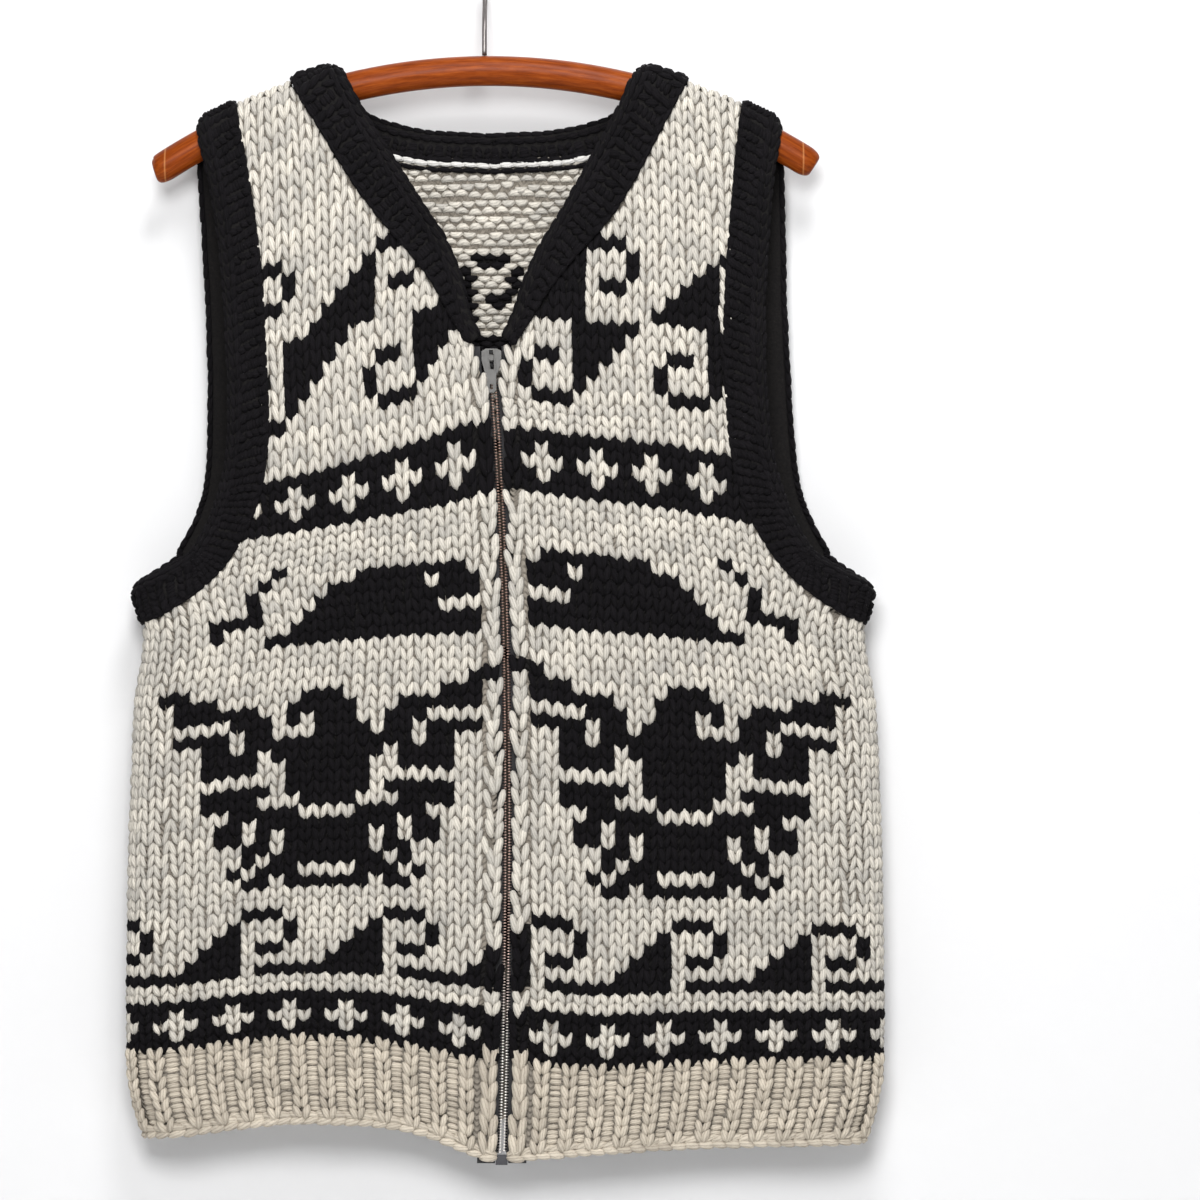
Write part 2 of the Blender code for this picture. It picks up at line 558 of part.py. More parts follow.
def build_zip(tape_look, metal, box_look):
    """The tapes, the closed chain, the slider with its strap, the pull tab and the bottom box."""
    slider_end = ZIP_TOP + SLIDER_LENGTH
    chain = np.linspace(slider_end + GAP, BOX_TOP - GAP, 22)
    for name, side in (("zip_tape_left", 1.0), ("zip_tape_right", -1.0)):
        drops = np.concatenate([[ZIP_TOP - 1.5 * MM, slider_end + GAP, slider_end + 3 * GAP], chain[1:-1],
                                [BOX_TOP - 3 * GAP, BOX_TOP - GAP, BOX_TOP + BOX_TALL - 1.0 * MM]])
        near = np.full(len(drops), CHAIN_HALF + GAP)
        near[:2] = SLIDER_CROWN + 0.7 * MM
        near[-2:] = BOX_HALF + GAP
        zip_strip(name, drops, side * near, side * TAPE_OUT, TAPE_LEVEL - 0.5 * TAPE_T,
                  TAPE_LEVEL + 0.5 * TAPE_T, tape_look)
    zip_strip("zip_chain", chain, -CHAIN_HALF, CHAIN_HALF, TAPE_LEVEL - 0.5 * CHAIN_T,
              TAPE_LEVEL + 0.5 * CHAIN_T, metal)
    zip_strip("zip_bottom_box", np.array([BOX_TOP, BOX_TOP + 0.5 * BOX_TALL, BOX_TOP + BOX_TALL]),
              -BOX_HALF, BOX_HALF, TAPE_LEVEL - 1.9 * MM, TAPE_LEVEL + 2.1 * MM, box_look)

    pivot_level = SLIDER_FRONT + PIVOT_RISE
    pivot = zip_point(0.0, ZIP_TOP + PIVOT_DOWN, pivot_level)

    def place(across, along, level):
        return (float(pivot[0] + across), float(pivot[1] - (level - pivot_level)),
                float(pivot[2] - (along - PIVOT_DOWN)))

    half_way = 0.45 * SLIDER_LENGTH
    shield = [(-0.55 * SLIDER_CROWN, 0.0), (0.55 * SLIDER_CROWN, 0.0), (SLIDER_CROWN, 0.22 * half_way),
              (SLIDER_CROWN, half_way), (SLIDER_FOOT, SLIDER_LENGTH - 1.5 * MM),
              (SLIDER_FOOT - 1.0 * MM, SLIDER_LENGTH), (-SLIDER_FOOT + 1.0 * MM, SLIDER_LENGTH),
              (-SLIDER_FOOT, SLIDER_LENGTH - 1.5 * MM), (-SLIDER_CROWN, half_way),
              (-SLIDER_CROWN, 0.22 * half_way)]
    slider = prism("zip_slider", shield, SLIDER_BACK, SLIDER_FRONT, place, metal)

    def upright(along, level, across):
        return place(across, PIVOT_DOWN + along, pivot_level + level)

    top = STRAP_IN + 1.1 * MM
    sunk = -PIVOT_RISE - 0.6 * MM
    arch = [(-STRAP_OUT, sunk), (-STRAP_OUT, top - 1.0 * MM), (-STRAP_OUT + 1.0 * MM, top),
            (STRAP_OUT - 1.0 * MM, top), (STRAP_OUT, top - 1.0 * MM), (STRAP_OUT, sunk),
            (STRAP_IN, sunk), (STRAP_IN, STRAP_IN - 0.1 * MM), (-STRAP_IN, STRAP_IN - 0.1 * MM),
            (-STRAP_IN, sunk)]
    strap = prism("strap_guide", arch, -STRAP_HALF, STRAP_HALF, upright, metal)
    strap.hide_render = True
    strap.display_type = "WIRE"
    union = slider.modifiers.new("strap", "BOOLEAN")
    union.operation = "UNION"
    union.solver = "EXACT"
    union.object = strap

    window = [(-TAB_ARM_IN, 0.5 * TAB_T), (TAB_ARM_IN, 0.5 * TAB_T), (TAB_ARM_IN, TAB_WINDOW),
              (-TAB_ARM_IN, TAB_WINDOW)]
    slot = rounded(1.1 * MM, TAB_LENGTH - 5.5 * MM, TAB_LENGTH - 2.2 * MM, 0.5 * MM)
    narrow = 2.9 * MM
    plate = [(-narrow, -0.5 * TAB_T), (narrow, -0.5 * TAB_T), (narrow, TAB_WINDOW),
             (TAB_HALF, TAB_WINDOW + 1.5 * MM), (TAB_HALF, TAB_LENGTH - 1.5 * MM),
             (TAB_HALF - 1.5 * MM, TAB_LENGTH), (-TAB_HALF + 1.5 * MM, TAB_LENGTH),
             (-TAB_HALF, TAB_LENGTH - 1.5 * MM), (-TAB_HALF, TAB_WINDOW + 1.5 * MM), (-narrow, TAB_WINDOW)]

    def hanging(across, along, level):
        return (float(across), float(-level), float(-along))

    tab = prism("zip_pull_tab", plate, -0.5 * TAB_T, 0.5 * TAB_T, hanging, metal, (window, slot))
    tab.location = pivot.tolist()


def build_hanger(wood, steel):
    """The bent dowel with its rounded ends, and the wire hook that stands on it."""
    reach = BOW_HALF_SPAN
    inset = np.array([0.0, 0.6, 2.0, 4.5, 8.0]) * MM
    share = np.array([0.62, 0.80, 0.93, 0.99, 1.0])
    x = np.concatenate([-reach + inset, np.linspace(-reach, reach, 15)[1:-1], reach - inset[::-1]])
    radii = DOWEL_R * np.concatenate([share, np.ones(13), share[::-1]])
    z = ZERO_Z - bow_drop(x - BOW_TILT_X)
    tube("hanger_bow", np.stack([x, 0 * x, z], axis=1), radii, 16, wood)

    foot = WOOD_TOP_Z + GAP
    stem = np.linspace(foot, foot + 12.0 * MM, 3)
    leave = math.radians(-48)
    first = np.array([HOOK_R * math.cos(leave), HOOK_CENTRE_Z + HOOK_R * math.sin(leave)])
    heading = np.array([-math.sin(leave), math.cos(leave)])
    start = np.array([0.0, stem[-1]])
    pull = 9.0 * MM
    handles = (start, start + [0.0, pull], first - heading * pull, first)
    t = np.linspace(0.0, 1.0, 9)[1:, None]
    bend = ((1 - t) ** 3 * handles[0] + 3 * (1 - t) ** 2 * t * handles[1]
            + 3 * (1 - t) * t**2 * handles[2] + t**3 * handles[3])
    angle = np.linspace(leave, math.radians(205), 23)[1:]
    round_top = np.stack([HOOK_R * np.cos(angle), HOOK_CENTRE_Z + HOOK_R * np.sin(angle)], axis=1)
    path = np.vstack([np.stack([0 * stem, stem], axis=1), bend, round_top])
    path = np.column_stack([np.zeros(len(path)), path])
    tube("hanger_hook", path, np.full(len(path), WIRE_R), 8, steel)


def main():
    """Clears the scene's objects and builds every piece."""
    for thing in list(bpy.data.objects):
        bpy.data.objects.remove(thing, do_unlink=True)

    light = material("light_wool", LIGHT_WOOL, 0.95)
    dark = material("dark_wool", DARK_WOOL, 0.9)
    wood = material("varnished_wood", WOOD, 0.3)
    steel = material("hook_steel", STEEL, 0.35, 1.0)
    tape = material("zip_tape_cloth", TAPE_BLACK, 0.85)
    metal = material("zip_metal", STEEL, 0.3, 1.0)
    box = material("zip_box", BOX_GREY, 0.5, 0.6)

    edges = {}
    for side, name in ((1, "front_left"), (-1, "front_right")):
        inner_line, outer_line, neck, arm = panel_lines(side, back=False)
        joined(name, [wing(side, inner_line, outer_line, ACROSS, back=False)], light)
        edges[side, "front"] = (neck, arm)
        hem_rib("hem_rib_" + name, [side], light, back=False)
    halves = []
    for side in (1, -1):
        inner_line, outer_line, neck, arm = panel_lines(side, back=True)
        halves.append(wing(side, inner_line, outer_line, ACROSS, back=True))
        edges[side, "back"] = (neck, arm)
    joined("back", halves, light)
    hem_rib("hem_rib_back", [1, -1], light, back=True)

    for side, name in ((1, "armhole_band_left"), (-1, "armhole_band_right")):
        front = band_sections(side, edges[side, "front"][1], ARM_BAND_T, 1.0, 1)
        rear = band_sections(side, edges[side, "back"][1], ARM_BAND_T, 1.0, 1)
        top = 0.5 * (front[-1:] + rear[-1:])
        low = 0.5 * (front[:1] + rear[:1])
        ring_or_strip(name, np.concatenate([low, front[1:-1], top, rear[-2:0:-1]]), dark, closed=True)

    strip = []
    for side in (1, -1):
        front = band_sections(side, edges[side, "front"][0], NECK_BAND_T, -1.0, 2)
        rear = band_sections(side, edges[side, "back"][0], NECK_BAND_T, -1.0, 2)
        top = 0.5 * (front[-1:] + rear[-1:])
        half = np.concatenate([front[:-1], top, rear[-2::-1]])
        strip.append(half if side > 0 else half[-2::-1])
    ring_or_strip("neck_band", np.concatenate(strip), dark, closed=False)

    build_zip(tape, metal, box)
    build_hanger(wood, steel)


main()
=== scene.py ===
import math

import bpy
import numpy as np
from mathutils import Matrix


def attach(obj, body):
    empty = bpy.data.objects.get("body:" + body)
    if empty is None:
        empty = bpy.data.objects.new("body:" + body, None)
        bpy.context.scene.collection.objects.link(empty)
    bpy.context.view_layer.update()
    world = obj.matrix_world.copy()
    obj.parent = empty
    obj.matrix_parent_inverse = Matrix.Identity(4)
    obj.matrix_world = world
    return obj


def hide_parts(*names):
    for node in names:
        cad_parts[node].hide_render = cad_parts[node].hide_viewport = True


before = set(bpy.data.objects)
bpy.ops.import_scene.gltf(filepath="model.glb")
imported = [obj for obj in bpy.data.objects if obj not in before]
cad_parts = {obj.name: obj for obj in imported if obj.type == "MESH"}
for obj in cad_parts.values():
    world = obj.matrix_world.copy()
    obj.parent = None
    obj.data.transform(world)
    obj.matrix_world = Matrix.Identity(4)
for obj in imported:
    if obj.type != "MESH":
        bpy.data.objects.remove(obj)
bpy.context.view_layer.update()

# A hand-knitted sleeveless zip vest in bulky wool on a bent wooden hanger. Each knit stitch is a pair of
# yarn legs and each purl stitch a bump, laid on the cloth's own lattice of columns and rows. Metres, +Z up,
# front towards -Y.

MM = 0.001

# The cloth's form, in the same sizes as the solids
STITCHES = 28.0
CLOTH_T = 4.5 * MM
ARM_BAND_T = 7.0 * MM
NECK_BAND_T = 8.0 * MM
GAP = 0.3 * MM
RIDGE_R = 13.0 * MM
DOWEL_R = 9.75 * MM
WOOD_TOP_Z = -60.4 * MM
BOW_RADIUS = 390.0 * MM
BOW_HALF_SPAN = 214.5 * MM
BOW_TILT_X = 3.2 * MM
BOW_CENTRE_Z = WOOD_TOP_Z - DOWEL_R
ZERO_Z = -72.75 * MM
WIDTH_AT = ((0, 232), (300, 232), (336, 239.5), (356, 232), (376, 233), (406, 239), (504, 243),
            (610, 244.5), (650, 243.5), (668, 240), (684, 235), (704, 229))
DEPTH_AT = ((0, 13.0), (60, 15), (220, 20), (450, 20), (620, 18.5), (712, 17.5))
SIDE_FOLD = 30.0 * MM
LEAN = 10.4 * MM
LEAN_DROP = 400.0 * MM
ZIP_TOP = 178.8 * MM
ZIP_SPAN = 500.0 * MM
ZIP_SHIFT = -5.5 * MM
ZIP_CURVE = (23.2, 19.0)
WAVE = 2.2 * MM
WAVE_LENGTH = 165.0 * MM
HEM_DROP = 704.5 * MM
RIB_HEIGHT = 55.0 * MM
RIB_PULL = 10.0 * MM
RIB_PULL_REACH = 35.0 * MM
HEM_RISE_LEFT = 14.0 * MM
HEM_REACH_LEFT = 100.0 * MM
HEM_RISE_RIGHT = 27.0 * MM
HEM_REACH_RIGHT = 48.0 * MM
HEM_CURVE_RIGHT = 1.6
HEM_FALL_RIGHT = 11.0 * MM
HEM_FALL_START = 120.0 * MM
HEM_BACK_RISE = 25.5 * MM
HEM_SIDE = 241.0 * MM
NECK_FRONT = ((14, 175.5, 8), (24.7, 159, 11), (35, 141, 16), (49, 122, 21), (80.6, 84.5, 27), (111, 33, 27))
NECK_RIDGE = (127, 30)
NECK_BACK = ((110, 30, 22), (85, 45, 19), (45, 54, 18.5), (0, 56.5, 18.5))
ARM_FRONT = ((241, 356, 26), (222, 351, 27), (192, 330, 29), (170, 303, 29), (155, 268, 28.5),
             (149, 220, 25.5), (150.5, 140, 24), (158, 68, 23))
ARM_RIDGE = (165, 25)
ARM_BACK = ((164, 68, 26), (158, 140, 31), (157, 220, 34), (162, 265, 34.5), (177, 300, 33.5),
            (198, 328, 31), (224, 350, 27), (241, 356, 26))
ZIP_EDGE = 6.5 * MM
CHAIN_HALF = 3.0 * MM
TAPE_OUT = 16.0 * MM
TAPE_T = 0.9 * MM
TAPE_LEVEL = -0.5 * CLOTH_T - GAP - 0.5 * TAPE_T
SLIDER_LENGTH = 16.5 * MM
BOX_TOP = 700.0 * MM

# The knitting: rows from the rib to the shoulder, and the yarn's size
ROWS = 80
ROW_AT = (-3.0, 0.0, 5.0, 7.0, 13.0, 15.0, 36.0, 42.0, 47.0, 52.0, 67.0, 80.0, 83.0)
SHARE_AT = (-0.034, 0.0, 0.0538, 0.0727, 0.147, 0.1694, 0.4325, 0.506, 0.5596, 0.6249, 0.828, 1.0, 1.040)

# How far the rows of a front hang below level, in mm at some rows: beside the zip, and at mid front
SAG_ROWS = (0, 15, 36, 42, 47, 52, 55, 61, 67, 80)
SAG_ZIP = {1: (0, 0, 1, 0, 0, 2, 11, 10, 8, 0), -1: (0, 2, 6, 6, 1, -7, -6, -2, 0, 0)}
SAG_MID = {1: (0, 2, 4, 4, 4, 4, 3.5, 3, 2, 0), -1: (0, 7, 13, 15, 22, 30, 26.5, 16, 13, 0)}
SAG_FADE = {1: (4.0, 13.0), -1: (0.0, 28.0)}
SAG_BACK = (0, 0, 4, 6, 10, 16, 20, 26, 26, 0)
FRONT_COLUMNS = 27
BACK_COLUMNS = 28
YARN_R = 2.15 * MM
YARN_FLATNESS = 0.88
BACKING_LEVEL = -0.5 * MM
BACKING_T = 1.4 * MM

# The selvedge beside the zip, and the part of the back's inner face that the neck shows
SELVEDGE_TOP = 66.0
SELVEDGE_TALL = 1.15
SELVEDGE_WIDE = 1.12
INSIDE_ROW = 51
INSIDE_COLUMNS = 15

# The bands' ribs and cast-off links, and the hem's
RIB_PITCH = 19.5 * MM
BAND_LINK = 8.8 * MM
INSIDE_LINK = 8.3 * MM
RIB_ROWS = 8.4
RIB_PAIRS = 13
RIB_LINKS = 27
RIB_CELLS = (8, 28)

# The zip's teeth: their pitch, the section of a tooth, and its reach and share of that section by steps
TOOTH_PITCH = 1.9 * MM
TOOTH_SECTION = ((-0.5, -0.62), (0.5, -0.62), (0.72, 0.0), (0.5, 0.62), (-0.5, 0.62), (-0.72, 0.0))
TOOTH_STEPS = ((0.55, 0.60), (0.6, 0.95), (2.6, 1.0), (3.4, 0.85), (3.55, 0.45))

# The hanger's rounded ends and the wire of its hook
BOW_END = 8.0 * MM
WIRE_R = 1.6 * MM
HOOK_R = 17.0 * MM
HOOK_STEM = 12.0 * MM
HOOK_LEAVES = math.radians(-48)
HOOK_ENDS = math.radians(205)
HOOK_PULL = 9.0 * MM

# Charts, read from the top row down. A hash is a dark stitch and a dot a light one.
WAVE_CHART = ("###.......",
              "...#.....#",
              "...#....##",
              ".##....###",
              "......####",
              ".#########")
YOKE_WAVE_CHART = ("###.......",
                   "...#.....#",
                   "...#....##",
                   ".##....###",
                   "......####",
                   ".....#####")
CROSS_CHART = ("####", "##.#", "#...", "##.#", "####")
WHALE_CHART = ("...............#.......",
               "..########......#......",
               ".###.#######.....#.....",
               ".############....#.....",
               "....##########...####..",
               ".##############.....#..",
               ".################......")
BIRD_CHART = ("##....................##",
              ".###.......###......###.",
              ".######...#####..######.",
              ".....###..###.#.###.....",
              ".####.##.####...##.####.",
              "...##.############.##...",
              "...####.########.####...",
              "...####..######..####...",
              ".........######.........",
              "...#####.######.#####...",
              "...####...####...####...",
              ".....#####....#####.....",
              "....##.##########.##....",
              "....##.#.######.#.##....",
              "......##.######.##......",
              "......#.########.#......",
              ".....#.###....###.#.....",
              "......##.######.##......")

chance = np.random.default_rng(61)


# The cloth's middle surface


def table(pairs, at):
    """A smooth reading of a short list of sizes in mm, rounded at its points by averaging nearby readings."""
    xs = np.array([p[0] for p in pairs]) * MM
    ys = np.array([p[1] for p in pairs]) * MM
    steps = np.linspace(-9.0, 9.0, 7) * MM
    return sum(np.interp(np.asarray(at) + step, xs, ys) for step in steps) / len(steps)


def ease(t):
    """A smooth rise from 0 to 1: three times the square less twice the cube."""
    t = np.clip(t, 0.0, 1.0)
    return t * t * (3.0 - 2.0 * t)


def bow_drop(x):
    """The drop of the hanger's centre line: an arc, run on straight past the hanger's ends."""
    inside = np.minimum(np.abs(x), BOW_HALF_SPAN)
    arc = ZERO_Z - BOW_CENTRE_Z + BOW_RADIUS - np.sqrt(BOW_RADIUS**2 - inside**2)
    return arc + 0.3 * (np.abs(x) - inside)


def quarter(depth):
    """The length round a quarter of the side fold's ellipse, by the mean of its two half axes."""
    a, b = SIDE_FOLD, depth
    return 0.25 * math.pi * (3.0 * (a + b) - np.sqrt((3.0 * a + b) * (a + 3.0 * b)))


STITCH = (table(WIDTH_AT, 0.1) - SIDE_FOLD + quarter(table(DEPTH_AT, 0.22))) / STITCHES


def over_hanger(c):
    """The ridge's drop, the height of the bend over the dowel, and the cloth's length round that bend."""
    x = np.minimum(np.abs(c) * STITCH, BOW_HALF_SPAN)
    tall = RIDGE_R / np.sqrt(1.0 - (x / BOW_RADIUS) ** 2)
    return bow_drop(c * STITCH) - tall, tall, 0.25 * math.pi * (RIDGE_R + tall)


def pitch(drop):
    """The width of a stitch, which fits the same count into the girth at each height."""
    full = table(WIDTH_AT, drop) - SIDE_FOLD + quarter(table(DEPTH_AT, drop))
    return STITCH + (full / STITCHES - STITCH) * ease((drop - 0.25) / 0.08)


def wander(drop):
    """How far the zip strays from the middle line: a shallow curve below its top."""
    t = (drop - ZIP_TOP) / ZIP_SPAN
    path = ZIP_SHIFT + t * (ZIP_CURVE[0] - ZIP_CURVE[1] * t) * MM
    return np.where(drop > ZIP_TOP, path, ZIP_SHIFT) * ease((drop - 0.09) / 0.09)


def drop_at(c, mu):
    """The drop of the cloth at a signed length mu from the ridge: a quarter turn, then straight down."""
    ridge, tall, bend = over_hanger(c)
    m = np.abs(mu)
    angle = 0.5 * math.pi * np.minimum(m / bend, 1.0)
    return ridge + tall * (1.0 - np.cos(angle)) + np.maximum(m - bend, 0.0)


def length_to(c, drop):
    """The cloth's length from the ridge down to a drop, the reverse of drop_at."""
    ridge, tall, bend = over_hanger(c)
    below = drop - ridge
    angle = np.arccos(np.clip(1.0 - below / tall, 0.0, 1.0))
    return np.where(below < tall, angle / (0.5 * math.pi) * bend, bend + below - tall)


def middle(side, c, mu):
    """A point of the cloth's middle surface. side is 1 for the wearer's left, c counts stitches from the
    middle line, and mu is the length from the ridge, negative in front. The cloth bends over the dowel,
    falls while it spreads to the body's depth, and turns round the side in a quarter ellipse."""
    bend = over_hanger(c)[2]
    face = np.where(mu < 0.0, -1.0, 1.0)
    m = np.abs(mu)
    drop = drop_at(c, mu)
    angle = 0.5 * math.pi * np.minimum(m / bend, 1.0)
    spread = ease((m - bend) / 0.2)
    depth = RIDGE_R * np.sin(angle) + (table(DEPTH_AT, drop) - RIDGE_R) * spread
    s = c * pitch(drop)
    flat = table(WIDTH_AT, drop) - SIDE_FOLD
    turn = 0.5 * math.pi * np.maximum(s - flat, 0.0) / quarter(depth)
    x = np.minimum(s, flat) + SIDE_FOLD * np.sin(turn)
    roll = np.sin(2.0 * math.pi * s / WAVE_LENGTH + 1.1 * side + 1.7 * face)
    roll = roll * ease((s - 0.02) / 0.05) * ease((m - bend) / 0.12)
    depth = (depth + WAVE * roll * ease((flat + 0.01 - s) / 0.06)) * np.cos(turn)
    slide = LEAN * np.sin(0.5 * math.pi * np.clip((m - bend) / LEAN_DROP, 0.0, 1.0))
    pull = np.where(mu < 0.0, wander(drop), 0.0) * np.clip(1.0 - s / 0.22, 0.0, 1.0)
    px = BOW_TILT_X + side * x + slide + pull
    return np.stack([px, face * depth, ZERO_Z - drop], axis=-1)


def unit(v):
    """Vectors scaled to a length of one."""
    return v / np.maximum(np.linalg.norm(v, axis=-1, keepdims=True), 1e-12)


def footing(side, c, mu):
    """The middle surface's points and its outward normals: the cross product of the two small steps."""
    c, mu = np.broadcast_arrays(np.asarray(c, dtype=float), np.asarray(mu, dtype=float))
    step_c, step_m = 0.02, 0.2 * MM
    across = middle(side, c + step_c, mu) - middle(side, c - step_c, mu)
    along = middle(side, c, mu + step_m) - middle(side, c, mu - step_m)
    return middle(side, c, mu), unit(np.cross(across, along) * side)


def hem_drop(side, s, back=False):
    """The drop of the cast-off edge. A front is lowest at the zip and settles higher beside it, the right
    one more sharply. The back hangs higher at its middle and meets the fronts at the sides."""
    if back:
        centre = HEM_DROP - HEM_BACK_RISE
        return centre + (hem_drop(side, HEM_SIDE) - centre) * (s / HEM_SIDE) ** 2
    if side > 0:
        return HEM_DROP - HEM_RISE_LEFT * (1.0 - np.exp(-s / HEM_REACH_LEFT))
    rise = HEM_RISE_RIGHT * (1.0 - np.exp(-((s / HEM_REACH_RIGHT) ** HEM_CURVE_RIGHT)))
    return HEM_DROP - rise + HEM_FALL_RIGHT * ease(s / HEM_FALL_START - 1.0)


def rib_height(s, back):
    """How tall the rib is: drawn longer beside the zip."""
    return RIB_HEIGHT + (0.0 if back else RIB_PULL * np.exp(-((s / RIB_PULL_REACH) ** 2)))


def body_length(side, c, back):
    """The length of a column from the ridge to the top of the rib."""
    s = c * STITCH
    return length_to(c, hem_drop(side, s, back) - rib_height(s, back))


def row_length(side, face, c, row):
    """How far a row lies from the ridge along the cloth: its share of the column and its sag. The back's
    fades towards the sides. A front has one share that fades away from the zip and one that follows a
    half sine across the front."""
    length = (1.0 - np.interp(row, ROW_AT, SHARE_AT)) * body_length(side, c, face > 0)
    if face > 0:
        return length + np.interp(row, SAG_ROWS, SAG_BACK) * (1.0 - ease(c / STITCHES)) * MM
    start, reach = SAG_FADE[side]
    by_zip = np.interp(row, SAG_ROWS, SAG_ZIP[side]) * (1.0 - ease((c - start) / reach))
    mid = np.interp(row, SAG_ROWS, SAG_MID[side]) * np.sin(math.pi * np.clip(c / STITCHES, 0.0, 1.0))
    return length + (by_zip + mid) * MM


def curve_through(knots, per_span):
    """Points on a smooth cubic curve through the knots, per_span of them to each span, then the last."""
    knots = np.asarray(knots, dtype=float)
    k = np.vstack([2.0 * knots[0] - knots[1], knots, 2.0 * knots[-1] - knots[-2]])
    t = np.linspace(0.0, 1.0, per_span, endpoint=False)[:, None]
    a, b, c, d = (k[i:len(k) - 3 + i, None, :] for i in range(4))
    spans = 0.5 * (2 * b + (c - a) * t + (2 * a - 5 * b + 4 * c - d) * t**2 + (3 * b - a - 3 * c + d) * t**3)
    return np.vstack([spans.reshape(-1, knots.shape[1]), knots[-1:]])


def pattern_line(front, ridge, back):
    """A neck or armhole line as (column, signed length, band width), from its front end over the ridge."""
    knots = []
    for points, face in ((front, -1.0), (back, 1.0)):
        for s, d, wide in points:
            c = s * MM / float(pitch(d * MM))
            knots.append((c, face * float(length_to(c, d * MM)), wide * MM))
        if face < 0:
            knots.append((ridge[0] * MM / STITCH, 0.0, ridge[1] * MM))
    return curve_through(knots, 24)


NECK_LINE = pattern_line(NECK_FRONT, NECK_RIDGE, NECK_BACK)
ARM_LINE = pattern_line(ARM_FRONT, ARM_RIDGE, ARM_BACK)


def inside_panel(c, mu, margin):
    """Whether a place lies below the neck line and within the armhole line, give or take a margin in metres.
    The neck line is read as a length at each column, and the armhole line as a column at each length."""
    face = -1.0 if np.mean(mu) < 0 else 1.0
    neck = NECK_LINE[face * NECK_LINE[:, 1] >= 0]
    arm = ARM_LINE[face * ARM_LINE[:, 1] >= 0]
    neck = neck[np.argsort(neck[:, 0])]
    arm = arm[np.argsort(np.abs(arm[:, 1]))]
    below_neck = np.abs(mu) + margin > np.interp(c, neck[:, 0], np.abs(neck[:, 1]), right=-1.0)
    reach = np.interp(np.abs(mu), np.abs(arm[:, 1]), arm[:, 0], right=99.0)
    return below_neck & (c * STITCH < reach * STITCH + margin)


def zip_edge_column(drop):
    """The front edge's column: close beside the zip, and open above towards the neck."""
    opening = np.clip((0.205 - drop) / 0.0295, 0.0, 1.0)
    return (ZIP_EDGE + 7.5 * MM * opening**1.5) / pitch(drop)


def zip_point(off, drop, rise):
    """A point beside the zip's middle line by off, at a drop, standing out by rise."""
    off, drop, rise = np.broadcast_arrays(*(np.asarray(v, dtype=float) for v in (off, drop, rise)))
    base = middle(1, 0.0 * drop, -length_to(0.0 * drop, drop))
    return base + np.stack([off, -rise, 0.0 * drop], axis=-1)


# Meshes


def mesh_piece(name, points, corners, sizes, look, uv=None, tone=None, shade=None, smooth=True):
    """A piece from points, the corners' point numbers, each face's corner count, and what its finish
    reads: a UV map, a tone for each point and a shade for each face."""
    mesh = bpy.data.meshes.new(name)
    mesh.vertices.add(len(points))
    mesh.vertices.foreach_set("co", np.ascontiguousarray(points, dtype=np.float32).ravel())
    mesh.loops.add(len(corners))
    mesh.loops.foreach_set("vertex_index", np.ascontiguousarray(corners, dtype=np.int32))
    mesh.polygons.add(len(sizes))
    starts = np.concatenate([[0], np.cumsum(sizes)[:-1]]).astype(np.int32)
    mesh.polygons.foreach_set("loop_start", starts)
    mesh.update(calc_edges=True)
    if uv is not None:
        layer = mesh.uv_layers.new(name="lay")
        layer.uv.foreach_set("vector", np.ascontiguousarray(uv, dtype=np.float32).ravel())
    if tone is not None:
        mesh.attributes.new("tone", "FLOAT", "POINT").data.foreach_set("value", tone.astype(np.float32))
    if shade is not None:
        mesh.attributes.new("shade", "FLOAT", "FACE").data.foreach_set("value", shade.astype(np.float32))
    mesh.validate()
    if smooth:
        mesh.shade_smooth()
    mesh.materials.append(look)
    piece = bpy.data.objects.new(name, mesh)
    bpy.context.scene.collection.objects.link(piece)
    return piece


def crossed(first, second):
    """Every pair of two lists' values, as two flat lists. The second runs faster."""
    return (grid.ravel() for grid in np.meshgrid(first, second, indexing="ij"))


def grid_piece(name, points, look, closed_u=False, closed_v=False, cap=False, smooth=True):
    """A surface over a grid of points, (u, v, 3), joined round in u or v where closed. cap closes the two
    ends of a surface that is closed in v with a fan each. Its UV map runs along u and round v."""
    rows, cols = points.shape[:2]
    index = np.arange(rows * cols).reshape(rows, cols)
    i = np.arange(rows if closed_u else rows - 1)
    j = np.arange(cols if closed_v else cols - 1)
    i, j = crossed(i, j)
    i2, j2 = (i + 1) % rows, (j + 1) % cols
    quads = np.stack([index[i, j], index[i, j2], index[i2, j2], index[i2, j]], axis=1)
    u = np.stack([i, i, i + 1, i + 1], axis=1) / (rows if closed_u else rows - 1)
    v = np.stack([j, j + 1, j + 1, j], axis=1) / (cols if closed_v else cols - 1)
    corners, sizes, uv = quads.ravel(), np.full(len(quads), 4), np.stack([u, v], axis=-1).reshape(-1, 2)
    flat = points.reshape(-1, 3)
    if cap:
        ends = np.stack([points[0].mean(axis=0), points[-1].mean(axis=0)])
        j = np.arange(cols)
        first = np.stack([np.full(cols, len(flat)), index[0, (j + 1) % cols], index[0, j]], axis=1)
        last = np.stack([np.full(cols, len(flat) + 1), index[-1, j], index[-1, (j + 1) % cols]], axis=1)
        flat = np.vstack([flat, ends])
        corners = np.concatenate([corners, first.ravel(), last.ravel()])
        sizes = np.concatenate([sizes, np.full(2 * cols, 3)])
        v = np.stack([j + 0.5, j + 1.0, j + 0.0], axis=1) / cols
        ends_uv = np.stack([np.stack([0 * v, v], axis=-1), np.stack([0 * v + 1.0, v], axis=-1)])
        uv = np.vstack([uv, ends_uv.reshape(-1, 2)])
    return mesh_piece(name, flat, corners, sizes, look, uv=uv, smooth=smooth)


